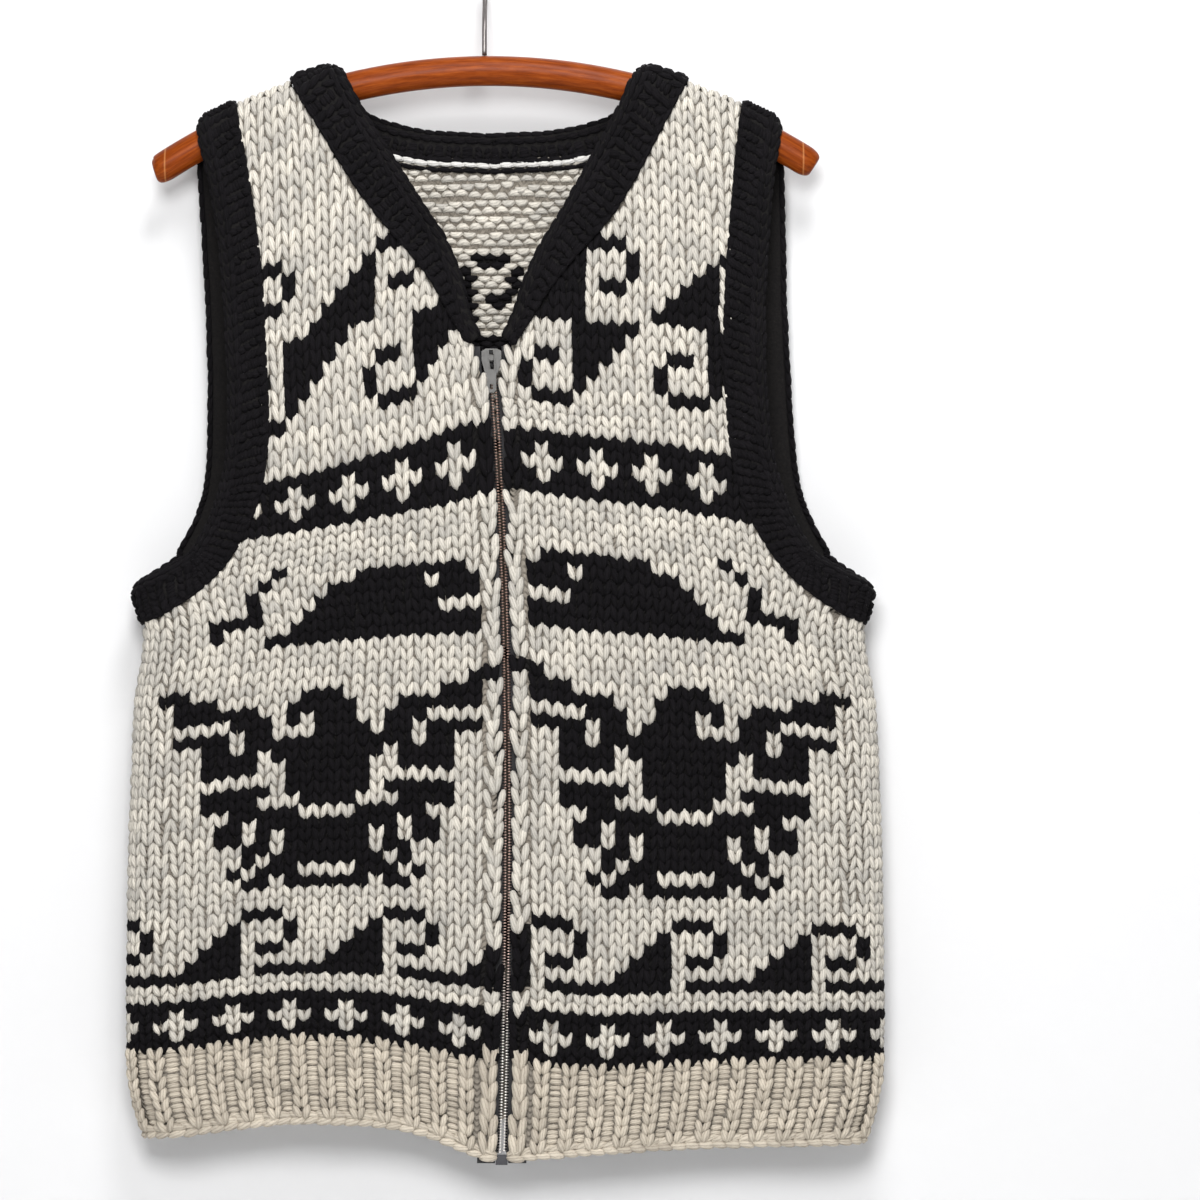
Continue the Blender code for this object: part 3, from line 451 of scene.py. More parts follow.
def tube_rings(path, radius, sides, up):
    """Circles of points along a path, (points, sides, 3), square to the path and level with up."""
    way = unit(np.gradient(path, axis=0))
    across = unit(np.cross(up, way))
    out = np.cross(way, across)
    angle = 2.0 * math.pi * (np.arange(sides) + 0.5) / sides
    ring = np.cos(angle)[None, :, None] * across[:, None, :] + np.sin(angle)[None, :, None] * out[:, None, :]
    return path[:, None, :] + ring * np.broadcast_to(radius, len(path))[:, None, None]


def tipped_faces(rings, sides):
    """The faces of a run of rings with a point at each tip, as point numbers in the order foot, rings,
    head: the quads between rings, the foot's fan and the head's fan."""
    i, j = crossed(np.arange(rings - 1), np.arange(sides))
    near, far, j2 = 1 + i * sides, 1 + (i + 1) * sides, (j + 1) % sides
    quads = np.stack([near + j, near + j2, far + j2, far + j], axis=1)
    k = np.arange(sides)
    k2 = (k + 1) % sides
    last = 1 + (rings - 1) * sides
    foot = np.stack([0 * k, 1 + k2, 1 + k], axis=1)
    head = np.stack([0 * k + last + sides, last + k, last + k2], axis=1)
    return quads, foot, head


def face_sizes(faces):
    """The corner count of each face in lists of faces."""
    return np.concatenate([np.full(len(part), part.shape[1]) for part in faces])


# Yarn. A run is a short length of yarn with a tip at each end. Runs are kept as (path, normal, radius,
# tone), and one mesh holds many of them. Short runs have one ring fewer.

LEG_T = np.array([0.0, 0.07, 0.28, 0.52, 0.76, 0.94, 1.0])
LEG_SHARE = np.array([0.52, 0.92, 1.0, 0.93, 0.60])
FEW_T = np.array([0.0, 0.10, 0.37, 0.68, 0.93, 1.0])
FEW_SHARE = np.array([0.62, 1.0, 0.97, 0.62])
FEW_FROM_LEG = np.stack([np.interp(FEW_T, LEG_T, one) for one in np.eye(len(LEG_T))], axis=1)


def thinned(run):
    """A run with one ring fewer, its places read at the shorter list by straight shares. Every length in it
    takes the first one's thickness."""
    path, up, radius, tone = run
    thick = np.interp(FEW_T[1:-1], LEG_T[1:-1], radius[0])
    return FEW_FROM_LEG @ path, FEW_FROM_LEG @ up, np.tile(thick, (len(path), 1)), tone


def run_uv(points, sides):
    """One run's UV places, corner by corner: along the yarn in u and round it in v."""
    t = np.linspace(0.0, 1.0, points)
    i, j = crossed(np.arange(points - 3), np.arange(sides))
    k = np.arange(sides)
    foot, head = t[1] + 0.0 * k, t[-2] + 0.0 * k
    u = (np.stack([t[i + 1], t[i + 1], t[i + 2], t[i + 2]], axis=1),
         np.stack([0.0 * k, foot, foot], axis=1), np.stack([1.0 + 0.0 * k, head, head], axis=1))
    v = (np.stack([j, j + 1, j + 1, j], axis=1), np.stack([k + 0.5, k + 1.0, k + 0.0], axis=1),
         np.stack([k + 0.5, k + 0.0, k + 1.0], axis=1))
    return np.stack([np.concatenate([part.ravel() for part in u]),
                     np.concatenate([part.ravel() for part in v]) / sides], axis=1)


def yarn_piece(name, runs, look, sides=5):
    """One mesh of yarn runs. Each run's rings are ellipses square to its path, a little flatter along the
    cloth's normal than across it, and a fan closes each tip. The UV map starts at a chance turn."""
    path, up, radius, tone = (np.concatenate(part) for part in zip(*runs))
    count, points = path.shape[:2]
    way = unit(np.gradient(path, axis=1))[:, 1:-1]
    across = unit(np.cross(up[:, 1:-1], way))
    out = np.cross(way, across)
    angle = 2.0 * math.pi * (np.arange(sides) + 0.3) / sides
    wide = across[:, :, None, :] * np.cos(angle)[None, None, :, None]
    tall = out[:, :, None, :] * np.sin(angle)[None, None, :, None] * YARN_FLATNESS
    ring = path[:, 1:-1, None, :] + (wide + tall) * radius[:, :, None, None]
    verts = np.concatenate([path[:, :1], ring.reshape(count, -1, 3), path[:, -1:]], axis=1)
    faces = tipped_faces(points - 2, sides)
    one = np.concatenate([part.ravel() for part in faces])
    per = verts.shape[1]
    corners = (one[None, :] + per * np.arange(count)[:, None]).ravel()
    uv = np.tile(run_uv(points, sides), (count, 1))
    uv[:, 1] += np.repeat(chance.random(count), len(one))
    return mesh_piece(name, verts.reshape(-1, 3), corners, np.tile(face_sizes(faces), count), look, uv=uv,
                      tone=np.repeat(tone, per))


def laid(ground, a, b, rise, radius, tone):
    """Yarn runs whose points lie at columns a, rows b and rises above a ground."""
    base, normal = ground(a, b)
    path = base + normal * rise[..., None]
    return path, normal, radius, tone


def shade_of(a, b, spread=0.5):
    """A tone for each run: the yarn's own slow change of shade along each row, from a sine with a jumbled
    start, and a chance share."""
    start = 40.0 * np.sin(12.7 * np.floor(b))
    cloud = 0.5 + 0.32 * np.sin(0.47 * a + start) + 0.18 * np.sin(1.13 * a + 1.7 * start)
    return np.clip((1.0 - spread) * cloud + spread * chance.random(len(a)), 0.0, 1.0)


def knit_runs(ground, a, b, wide, tall=1.0, radius=YARN_R, lift=0.0, few=False, loose=0.04,
              inward=False):
    """The two legs of each knit stitch. A leg leaves the stitch's foot at the middle, below its row, leans
    outward as the 0.9 power of its length, and ends tucked behind the next row. It stands proud by a
    sine over its length. inward turns the legs to the cloth's other face."""
    t, share = (FEW_T, FEW_SHARE) if few else (LEG_T, LEG_SHARE)
    flip = -1.0 if inward else 1.0
    runs = []
    for hand in (-1.0, 1.0):
        shift_a = chance.normal(0.0, loose, len(a))[:, None] * wide[:, None]
        shift_b = chance.normal(0.0, 1.4 * loose, len(a))[:, None]
        swell = 1.0 + chance.normal(0.0, 0.06, len(a))[:, None]
        lean = 1.0 + chance.normal(0.0, 0.10, len(a))[:, None]
        out = hand * (0.075 + 0.345 * lean * t[None, :] ** 0.9) * wide[:, None]
        up = (-0.42 + 1.44 * t)[None, :] * tall
        rise = flip * (-1.3 + 2.1 * np.sin(math.pi * t) ** 0.7 - 0.3 * t)[None, :] * MM + lift
        rise = rise + chance.normal(0.0, 0.12 * MM, len(a))[:, None]
        thick = radius * share[None, :] * swell * (wide / np.mean(wide))[:, None] ** 0.5
        runs.append(laid(ground, a[:, None] + out + shift_a, b[:, None] + up + shift_b, rise, thick,
                         shade_of(a, b)))
    return runs


def purl_runs(ground, a, b, wide, radius=1.75 * MM, lift=0.0, few=True, bow=0.28, inward=False, long=0.56):
    """The bumps of each purl stitch: a bar across the column that arches by a cosine, highest at its
    middle. inward turns the bumps to the cloth's other face."""
    t, share = (FEW_T, FEW_SHARE) if few else (LEG_T, LEG_SHARE)
    flip = -1.0 if inward else 1.0
    x = 2.0 * t - 1.0
    shift_b = chance.normal(0.0, 0.06, len(a))[:, None]
    swell = 1.0 + chance.normal(0.0, 0.07, len(a))[:, None]
    out = (long * x)[None, :] * wide[:, None]
    up = bow * np.cos(0.5 * math.pi * x)[None, :] + shift_b
    rise = flip * (-0.9 + 1.5 * np.cos(0.5 * math.pi * x)[None, :]) * MM + lift
    rise = np.broadcast_to(rise, out.shape)
    return [laid(ground, a[:, None] + out, b[:, None] + up, rise, radius * share[None, :] * swell,
                 shade_of(a, b))]


def panel_ground(side, face):
    """The ground of a front or a half of the back: columns across, and rows up from the rib."""
    def at(c, row):
        return footing(side, c, face * row_length(side, face, c, row))
    return at


# The charts


def chart_rows(lines):
    """A chart as an array of dark stitches, lowest row first."""
    return np.array([[mark == "#" for mark in line] for line in lines])[::-1]


def panel_chart(columns, wave_steps, cross_step):
    """A panel's dark stitches, (row, column). Columns count from the zip or from the back's middle.
    wave_steps gives, for each of the three wave bands, the motif column of column 0 and the way it runs."""
    dark = np.zeros((ROWS, columns), dtype=bool)
    s = np.arange(columns)
    wave, yoke, cross = chart_rows(WAVE_CHART), chart_rows(YOKE_WAVE_CHART), chart_rows(CROSS_CHART)
    for low in (0, 47):
        dark[low:low + 5] = cross[:, (s + cross_step) % 4]
    for low, motif, (start, way) in ((7, wave, wave_steps[0]), (55, yoke[::-1, ::-1], wave_steps[1]),
                                     (61, yoke, wave_steps[2])):
        dark[low:low + 6] = motif[:, (start + way * s) % 10]
    dark[15:33, 0:24] = chart_rows(BIRD_CHART)
    dark[36:43, 0:23] = chart_rows(WHALE_CHART)
    return dark


# Materials


def new_look(name, roughness, metallic=0.0, **values):
    """A material's Principled shader with its plain values set on its own sockets."""
    made = bpy.data.materials.new(name)
    made.use_nodes = True
    shader = made.node_tree.nodes["Principled BSDF"]
    shader.inputs["Roughness"].default_value = roughness
    shader.inputs["Metallic"].default_value = metallic
    for socket, value in values.items():
        shader.inputs[socket.replace("_", " ")].default_value = value
    return made, made.node_tree, shader


def add(tree, kind, **settings):
    """A new node, with settings put on the node and numbered or named inputs given in a dict."""
    node = tree.nodes.new(kind)
    for key, value in settings.pop("inputs", {}).items():
        node.inputs[key].default_value = value
    for key, value in settings.items():
        setattr(node, key, value)
    return node


def ramp(tree, source, stops):
    """A colour ramp on a value, with stops of (place, colour)."""
    node = add(tree, "ShaderNodeValToRGB")
    while len(node.color_ramp.elements) < len(stops):
        node.color_ramp.elements.new(0.5)
    for element, (place, colour) in zip(node.color_ramp.elements, stops):
        element.position = place
        element.color = (*colour, 1.0)
    tree.links.new(source, node.inputs[0])
    return node.outputs["Color"]


def stretched(tree, source, scale):
    """Coordinates multiplied by a scale for each axis."""
    node = add(tree, "ShaderNodeMapping", inputs={"Scale": scale})
    tree.links.new(source, node.inputs["Vector"])
    return node.outputs["Vector"]


def noise(tree, source, scale, detail=3.0, rough=0.55):
    """A noise value at a scale."""
    node = add(tree, "ShaderNodeTexNoise", inputs={"Scale": scale, "Detail": detail, "Roughness": rough})
    tree.links.new(source, node.inputs["Vector"])
    return node.outputs["Fac"]


def maths(tree, operation, first, second=None, third=None, clamp=False):
    """A math node on values or numbers."""
    node = add(tree, "ShaderNodeMath", operation=operation, use_clamp=clamp)
    for socket, value in zip(node.inputs, (first, second, third)):
        if value is None:
            continue
        if isinstance(value, (int, float)):
            socket.default_value = value
        else:
            tree.links.new(value, socket)
    return node.outputs[0]


def mixed(tree, share, first, second, kind="MIX"):
    """Two colours mixed by a share."""
    node = add(tree, "ShaderNodeMix", data_type="RGBA", blend_type=kind)
    for socket, value in ((node.inputs[0], share), (node.inputs[6], first), (node.inputs[7], second)):
        if isinstance(value, (int, float)):
            socket.default_value = value
        elif isinstance(value, tuple):
            socket.default_value = (*value, 1.0)
        else:
            tree.links.new(value, socket)
    return node.outputs[2]


def bumped(tree, shader, height, strength, distance):
    """A bump on the shader's normal from a height."""
    node = add(tree, "ShaderNodeBump", inputs={"Strength": strength, "Distance": distance})
    tree.links.new(height, node.inputs["Height"])
    tree.links.new(node.outputs["Normal"], shader.inputs["Normal"])


def spun_yarn_group():
    """Spun yarn: plies that wind slowly along the yarn, fibres along them, and grey, oat and pale hairs mixed
    by stretched noise, with painted shade darkening the grooves between the plies. Gives the yarn's colour
    and its height."""
    group = bpy.data.node_groups.new("spun_yarn", "ShaderNodeTree")
    face = group.interface
    for name in ("Pale", "Middle", "Ply Shade"):
        face.new_socket(name=name, in_out="INPUT", socket_type="NodeSocketColor")
    face.new_socket(name="Ply Shade Share", in_out="INPUT", socket_type="NodeSocketFloat")
    face.new_socket(name="Colour", in_out="OUTPUT", socket_type="NodeSocketColor")
    face.new_socket(name="Height", in_out="OUTPUT", socket_type="NodeSocketFloat")
    ends, out = add(group, "NodeGroupInput"), add(group, "NodeGroupOutput")
    lay = add(group, "ShaderNodeUVMap", uv_map="lay").outputs["UV"]
    place = add(group, "ShaderNodeTexCoord").outputs["Object"]
    tone = add(group, "ShaderNodeAttribute", attribute_name="tone").outputs["Fac"]
    split = add(group, "ShaderNodeSeparateXYZ")
    group.links.new(lay, split.inputs[0])
    wobble = noise(group, place, 420.0, 2.0)
    turns = maths(group, "MULTIPLY_ADD", split.outputs["Y"], 6.0,
                  maths(group, "MULTIPLY", split.outputs["X"], 1.6))
    turns = maths(group, "ADD", turns, maths(group, "MULTIPLY", wobble, 0.9))
    ply = maths(group, "ABSOLUTE", maths(group, "SINE", maths(group, "MULTIPLY", turns, math.pi)))
    fibre = noise(group, stretched(group, lay, (3.0, 26.0, 1.0)), 2.2, 4.0, 0.7)
    speck = noise(group, place, 900.0, 2.0, 0.6)
    blend = maths(group, "ADD", maths(group, "MULTIPLY", tone, 0.62), maths(group, "MULTIPLY", fibre, 0.7))
    blend = maths(group, "SUBTRACT", blend, maths(group, "MULTIPLY", speck, 0.30), clamp=True)
    colour = mixed(group, maths(group, "MULTIPLY", blend, 1.25, clamp=True), ends.outputs["Middle"],
                   ends.outputs["Pale"])
    # Painted shade: the grooves between the plies are darkened towards the third colour, by the given share.
    ply_shade_share = maths(group, "POWER", maths(group, "SUBTRACT", 1.0, ply), 2.2)
    colour = mixed(group, maths(group, "MULTIPLY", ply_shade_share, ends.outputs["Ply Shade Share"]), colour,
                   ends.outputs["Ply Shade"])
    group.links.new(colour, out.inputs["Colour"])
    height = maths(group, "ADD", maths(group, "POWER", ply, 0.6), maths(group, "MULTIPLY", fibre, 0.5))
    group.links.new(height, out.inputs["Height"])
    return group


SPUN_YARN = spun_yarn_group()


def wool(name, pale, middle_tone, deep, ply_shade_share, sheen):
    """Soft spun wool from the yarn group, with painted shade in its ply grooves, a matt face and a little
    sheen from its loose fibres.
    """
    made, tree, shader = new_look(name, 0.92, Sheen_Weight=sheen, Sheen_Roughness=0.55,
                                  Specular_IOR_Level=0.07)
    yarn = add(tree, "ShaderNodeGroup", node_tree=SPUN_YARN)
    # Painted shade: deep is the colour that the ply grooves are darkened towards, by the share set below.
    for key, colour in (("Pale", pale), ("Middle", middle_tone), ("Ply Shade", deep)):
        yarn.inputs[key].default_value = (*colour, 1.0)
    yarn.inputs["Ply Shade Share"].default_value = ply_shade_share
    tree.links.new(yarn.outputs["Colour"], shader.inputs["Base Color"])
    bumped(tree, shader, yarn.outputs["Height"], 0.8, 0.35 * MM)
    return made


def painted_shade_behind_look(name, light, dark):
    """The cloth behind the stitches, coloured as painted shade: the wools' tones darker than the yarn,
    darkened further towards black by noise, with the small bars of the purl side.
    """
    made, tree, shader = new_look(name, 0.97, Specular_IOR_Level=0.1)
    lay = add(tree, "ShaderNodeUVMap", uv_map="lay").outputs["UV"]
    shade = add(tree, "ShaderNodeAttribute", attribute_name="shade").outputs["Fac"]
    place = add(tree, "ShaderNodeTexCoord").outputs["Object"]
    fluff = noise(tree, place, 600.0, 3.0)
    colour = mixed(tree, shade, light, dark)
    # painted shade: noise darkens the backing's colour further towards black
    colour = mixed(tree, maths(tree, "MULTIPLY", fluff, 0.5), colour, (0.02, 0.018, 0.016))
    tree.links.new(colour, shader.inputs["Base Color"])
    split = add(tree, "ShaderNodeSeparateXYZ")
    tree.links.new(lay, split.inputs[0])
    arch = maths(tree, "SINE", maths(tree, "MULTIPLY", split.outputs["X"], 2 * math.pi))
    lay_row = maths(tree, "ADD", split.outputs["Y"], maths(tree, "MULTIPLY", arch, 0.25))
    bars = maths(tree, "SINE", maths(tree, "MULTIPLY", lay_row, 4 * math.pi))
    bumped(tree, shader, maths(tree, "ADD", bars, fluff), 0.8, 0.8 * MM)
    return made


# The third colour of each wool is the painted shade of its ply grooves, and the number after it sets how far
# the grooves darken.
LIGHT_WOOL = wool("light_wool_yarn", (0.55, 0.515, 0.452), (0.26, 0.25, 0.234), (0.13, 0.12, 0.10), 0.5, 0.04)
RIB_WOOL = wool("rib_wool_yarn", (0.51, 0.455, 0.375), (0.26, 0.23, 0.19), (0.11, 0.09, 0.07), 0.5, 0.04)
PALE_WOOL = wool("pale_wool_yarn", (0.54, 0.53, 0.51), (0.38, 0.37, 0.35), (0.2, 0.19, 0.18), 0.4, 0.05)
DARK_WOOL = wool("dark_wool_yarn", (0.0060, 0.0052, 0.0062), (0.0025, 0.0022, 0.0027), (0.001, 0.001, 0.0012),
                 0.5, 0.004)
# Painted shade: the backing's light colour is the light wool's tone in shadow and its dark one the dark
# wool's, seen in the gaps between stitches.
PAINTED_SHADE_WOOL_BEHIND = painted_shade_behind_look("behind_stitches_painted_shade", (0.26, 0.232, 0.195), (0.003, 0.0028, 0.0034))


def tape_look():
    """Woven zip tape: black twill with fine ribs across."""
    made, tree, shader = new_look("zip_tape_weave", 0.85, Sheen_Weight=0.1, Specular_IOR_Level=0.3)
    place = add(tree, "ShaderNodeTexCoord").outputs["Object"]
    split = add(tree, "ShaderNodeSeparateXYZ")
    tree.links.new(place, split.inputs[0])
    warp = maths(tree, "SINE", maths(tree, "MULTIPLY", split.outputs["X"], 9000.0))
    weft = maths(tree, "SINE", maths(tree, "MULTIPLY", split.outputs["Z"], 7000.0))
    height = maths(tree, "MULTIPLY", warp, weft)
    dust = noise(tree, place, 300.0)
    colour = mixed(tree, dust, (0.008, 0.008, 0.009), (0.028, 0.027, 0.029))
    tree.links.new(colour, shader.inputs["Base Color"])
    bumped(tree, shader, height, 0.6, 0.15 * MM)
    return made


def metal_look(name, pale, deep, roughness, z_ramp=None):
    """Plated metal: its colour mottled by noise, dull in the mottles, with fine scratches."""
    made, tree, shader = new_look(name, roughness, 1.0)
    place = add(tree, "ShaderNodeTexCoord").outputs["Object"]
    mottle = noise(tree, place, 260.0, 4.0)
    colour = mixed(tree, mottle, deep, pale)
    if z_ramp:
        split = add(tree, "ShaderNodeSeparateXYZ")
        tree.links.new(place, split.inputs[0])
        along = maths(tree, "MULTIPLY", split.outputs["Z"], -1.25)
        colour = mixed(tree, 1.0, colour, ramp(tree, along, z_ramp), "MULTIPLY")
    tree.links.new(colour, shader.inputs["Base Color"])
    scratch = noise(tree, stretched(tree, place, (900.0, 900.0, 120.0)), 1.0, 3.0)
    tree.links.new(maths(tree, "MULTIPLY_ADD", scratch, 0.25, roughness - 0.1), shader.inputs["Roughness"])
    bumped(tree, shader, scratch, 0.15, 0.05 * MM)
    return made


def wood_look():
    """Varnished bent wood: long grain and small pores along the bow, worn paler in soft patches."""
    made, tree, shader = new_look("varnished_wood", 0.5, Specular_IOR_Level=0.06, Coat_Weight=0.02,
                                  Coat_Roughness=0.3)
    lay = add(tree, "ShaderNodeUVMap", uv_map="lay").outputs["UV"]
    grain = noise(tree, stretched(tree, lay, (7.0, 9.0, 1.0)), 3.0, 6.0, 0.65)
    pores = noise(tree, stretched(tree, lay, (60.0, 60.0, 1.0)), 3.0, 4.0, 0.7)
    cloud = noise(tree, stretched(tree, lay, (6.0, 1.5, 1.0)), 1.5, 3.0)
    base = ramp(tree, grain, ((0.30, (0.065, 0.0085, 0.0010)), (0.50, (0.155, 0.028, 0.0025)),
                              (0.68, (0.255, 0.058, 0.0075))))
    base = mixed(tree, maths(tree, "MULTIPLY", cloud, 0.5), base, (0.18, 0.034, 0.0035))
    specks = maths(tree, "GREATER_THAN", pores, 0.62)
    base = mixed(tree, maths(tree, "MULTIPLY", specks, 0.3), base, (0.06, 0.010, 0.002))
    place = add(tree, "ShaderNodeSeparateXYZ")
    tree.links.new(add(tree, "ShaderNodeTexCoord").outputs["Object"], place.inputs[0])
    from_end = maths(tree, "SUBTRACT", maths(tree, "ABSOLUTE", place.outputs["X"]), BOW_HALF_SPAN - 7.5 * MM)
    worn = maths(tree, "LESS_THAN", maths(tree, "ABSOLUTE", from_end), 0.5 * MM)
    base = mixed(tree, maths(tree, "MULTIPLY", worn, 0.4), base, (0.45, 0.20, 0.07))
    tree.links.new(base, shader.inputs["Base Color"])
    tree.links.new(maths(tree, "MULTIPLY_ADD", grain, 0.2, 0.28), shader.inputs["Roughness"])
    bumped(tree, shader, grain, 0.2, 0.2 * MM)
    return made


TAPE = tape_look()
TEETH = metal_look("zip_teeth_metal", (0.72, 0.70, 0.68), (0.50, 0.47, 0.44), 0.32,
                   ((0.0, (0.45, 0.33, 0.28)), (0.60, (0.42, 0.28, 0.24)), (0.80, (0.62, 0.46, 0.42)),
                    (0.88, (0.95, 0.93, 0.92))))
NICKEL = metal_look("zip_slider_nickel", (0.07, 0.069, 0.067), (0.03, 0.029, 0.028), 0.3)
DARK_NICKEL = metal_look("zip_dark_strip_nickel", (0.03, 0.03, 0.03), (0.012, 0.012, 0.013), 0.4)
WIRE = metal_look("hook_wire_steel", (0.24, 0.22, 0.215), (0.12, 0.11, 0.105), 0.45)
BOX_METAL = metal_look("zip_box_metal", (0.10, 0.10, 0.105), (0.045, 0.045, 0.05), 0.5)
WOOD = wood_look()


# The three panels


def dress(piece, body):
    """Lets a piece ride on its body."""
    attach(piece, body)
    return piece


def by_wool(is_dark):
    """The two wools' names, each with the stitches that it knits."""
    return ("light", ~is_dark), ("dark", is_dark)


def panel_cells(side, face, columns):
    """The corners of a panel's stitch cells, as columns on each row line, and the row lines. A front's
    columns begin at the zip, and the first few follow its edge where that opens towards the neck."""
    s = np.arange(columns + 1.0)
    rows = np.arange(ROWS + 1)
    first = ZIP_EDGE / STITCH if face < 0 else 0.0
    c = np.tile(first + s * (STITCHES - first) / columns, (ROWS + 1, 1))
    if face < 0:
        drop = drop_at(c[:, :1], -row_length(side, face, c[:, :1], rows[:, None]))
        c = c + (zip_edge_column(drop) - ZIP_EDGE / pitch(drop)) * np.exp(-s[None, :] / 3.0)
    return c, rows


def backing_half(side, face, ground, c, rows, near, shade):
    """A front's backing, or half of the back's: a quad for each cell that is near, turned outward."""
    base, normal = ground(c, np.broadcast_to(rows[:, None], c.shape))
    points = base + normal * BACKING_LEVEL
    index = np.arange(c.size).reshape(c.shape)
    quads = np.stack([index[:-1, :-1], index[:-1, 1:], index[1:, 1:], index[1:, :-1]], axis=-1)[near]
    r, s = np.nonzero(near)
    uv = np.stack([np.stack([s, s + 1, s + 1, s], axis=1), np.stack([r, r, r + 1, r + 1], axis=1)], axis=-1)
    if side * face > 0:
        quads, uv = quads[:, ::-1], uv[:, ::-1]
    used, compact = np.unique(quads, return_inverse=True)
    return {"points": points.reshape(-1, 3)[used], "quads": compact.reshape(-1, 4), "uv": uv,
            "shade": shade[near].astype(float), "count": int(near.sum())}


def build_panel(side, face, columns, dark, few):
    """One front, or one half of the back: its backing sheet and the yarn on it. A front's first column is
    left to the selvedge."""
    ground = panel_ground(side, face)
    c, rows = panel_cells(side, face, columns)
    mid_c = 0.5 * (c[:-1, :-1] + c[1:, 1:])
    wide = c[:-1, 1:] - c[:-1, :-1]
    mu = face * row_length(side, face, mid_c, rows[:-1, None] + 0.5)
    sheet = backing_half(side, face, ground, c, rows, inside_panel(mid_c, mu, 5.5 * MM), dark)
    stitched = inside_panel(mid_c, mu, 1.5 * MM)
    if face < 0:
        stitched[:, 0] = False
    r, s = np.nonzero(stitched)
    runs = {}
    for key, chosen in by_wool(dark[r, s]):
        row, column = r[chosen], s[chosen]
        runs[key] = knit_runs(ground, mid_c[row, column], row.astype(float), wide[row, column], few=few)
    return sheet, runs


def thicken(piece, thickness, offset):
    """Gives a sheet its thickness."""
    wall = piece.modifiers.new("wall", "SOLIDIFY")
    wall.thickness = thickness
    wall.offset = offset


def sheet_piece(name, halves, node):
    """The backing sheet of one or two halves, given its thickness and attached to the vest, with the panel's
    solid hidden.
    """
    base, points, quads, uv, shade = 0, [], [], [], []
    for half in halves:
        points.append(half["points"])
        quads.append(half["quads"] + base)
        uv.append(half["uv"].reshape(-1, 2))
        shade.append(half["shade"])
        base += len(half["points"])
    quads = np.concatenate(quads)
    piece = mesh_piece(name, np.vstack(points), quads.ravel(), np.full(len(quads), 4), PAINTED_SHADE_WOOL_BEHIND,
                       uv=np.vstack(uv), shade=np.concatenate(shade))
    if len(halves) > 1:
        weld = piece.modifiers.new("weld", "WELD")
        weld.merge_threshold = 0.05 * MM
    thicken(piece, BACKING_T, -1.0)
    dress(piece, "vest")
    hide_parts(node)
    return piece


def selvedge_runs(side, dark):
    """The loose edge column beside the zip: fuller stitches, a little taller than the rest, that lie
    closer to the zip below its slider."""
    ground = panel_ground(side, -1.0)
    b = np.arange(0.0, SELVEDGE_TOP, SELVEDGE_TALL)
    edge = ZIP_EDGE / STITCH + 0.0 * b
    drop = drop_at(edge, -row_length(side, -1.0, edge, b))
    edge = zip_edge_column(drop)
    keep = inside_panel(edge + 0.6, -row_length(side, -1.0, edge, b), 1.0 * MM)
    b, edge = b[keep], edge[keep]
    centre = edge + (0.5 - 0.27 * ease((drop[keep] - ZIP_TOP - 15.0 * MM) / (12.0 * MM)))
    wide = np.full(len(b), SELVEDGE_WIDE)
    runs = {}
    for key, chosen in by_wool(dark[np.minimum((b + 0.5).astype(int), ROWS - 1), 0]):
        runs[key] = knit_runs(ground, centre[chosen], b[chosen], wide[chosen], tall=SELVEDGE_TALL,
                              radius=YARN_R * 1.22, lift=0.6 * MM, loose=0.11) if chosen.any() else []
    return runs


def split_yarn(name, runs, parts=1):
    """The light and dark yarn pieces of a panel, each split by height where it has too many faces."""
    made = []
    for key, look, slot in (("light", LIGHT_WOOL, "light_wool"), ("dark", DARK_WOOL, "dark_wool")):
        path, up, radius, tone = (np.concatenate([r[i] for r in runs[key]]) for i in range(4))
        order = np.argsort(path[:, 0, 2], kind="stable")
        for n, chunk in enumerate(np.array_split(order, parts)):
            label = f"{name}_{key}_yarn" + (f"_{n + 1}" if parts > 1 else "")
            piece = yarn_piece(label, [(path[chunk], up[chunk], radius[chunk], tone[chunk])], look)
            made.append(dress(piece, "vest"))
    return made


def build_fronts():
    """Both fronts with their yarn, selvedges and backing sheets."""
    for side, name, wave_steps in ((1, "front_left", ((-1, 1), (5, 1), (4, 1))),
                                   (-1, "front_right", ((7, -1), (4, -1), (7, -1)))):
        dark = panel_chart(FRONT_COLUMNS, wave_steps, 0)
        sheet, runs = build_panel(side, -1.0, FRONT_COLUMNS, dark, few=False)
        for key, extra in selvedge_runs(side, dark).items():
            runs[key] += extra
        yarn = split_yarn(name, runs)
        sheet_piece(name + "_cloth", [sheet], name)


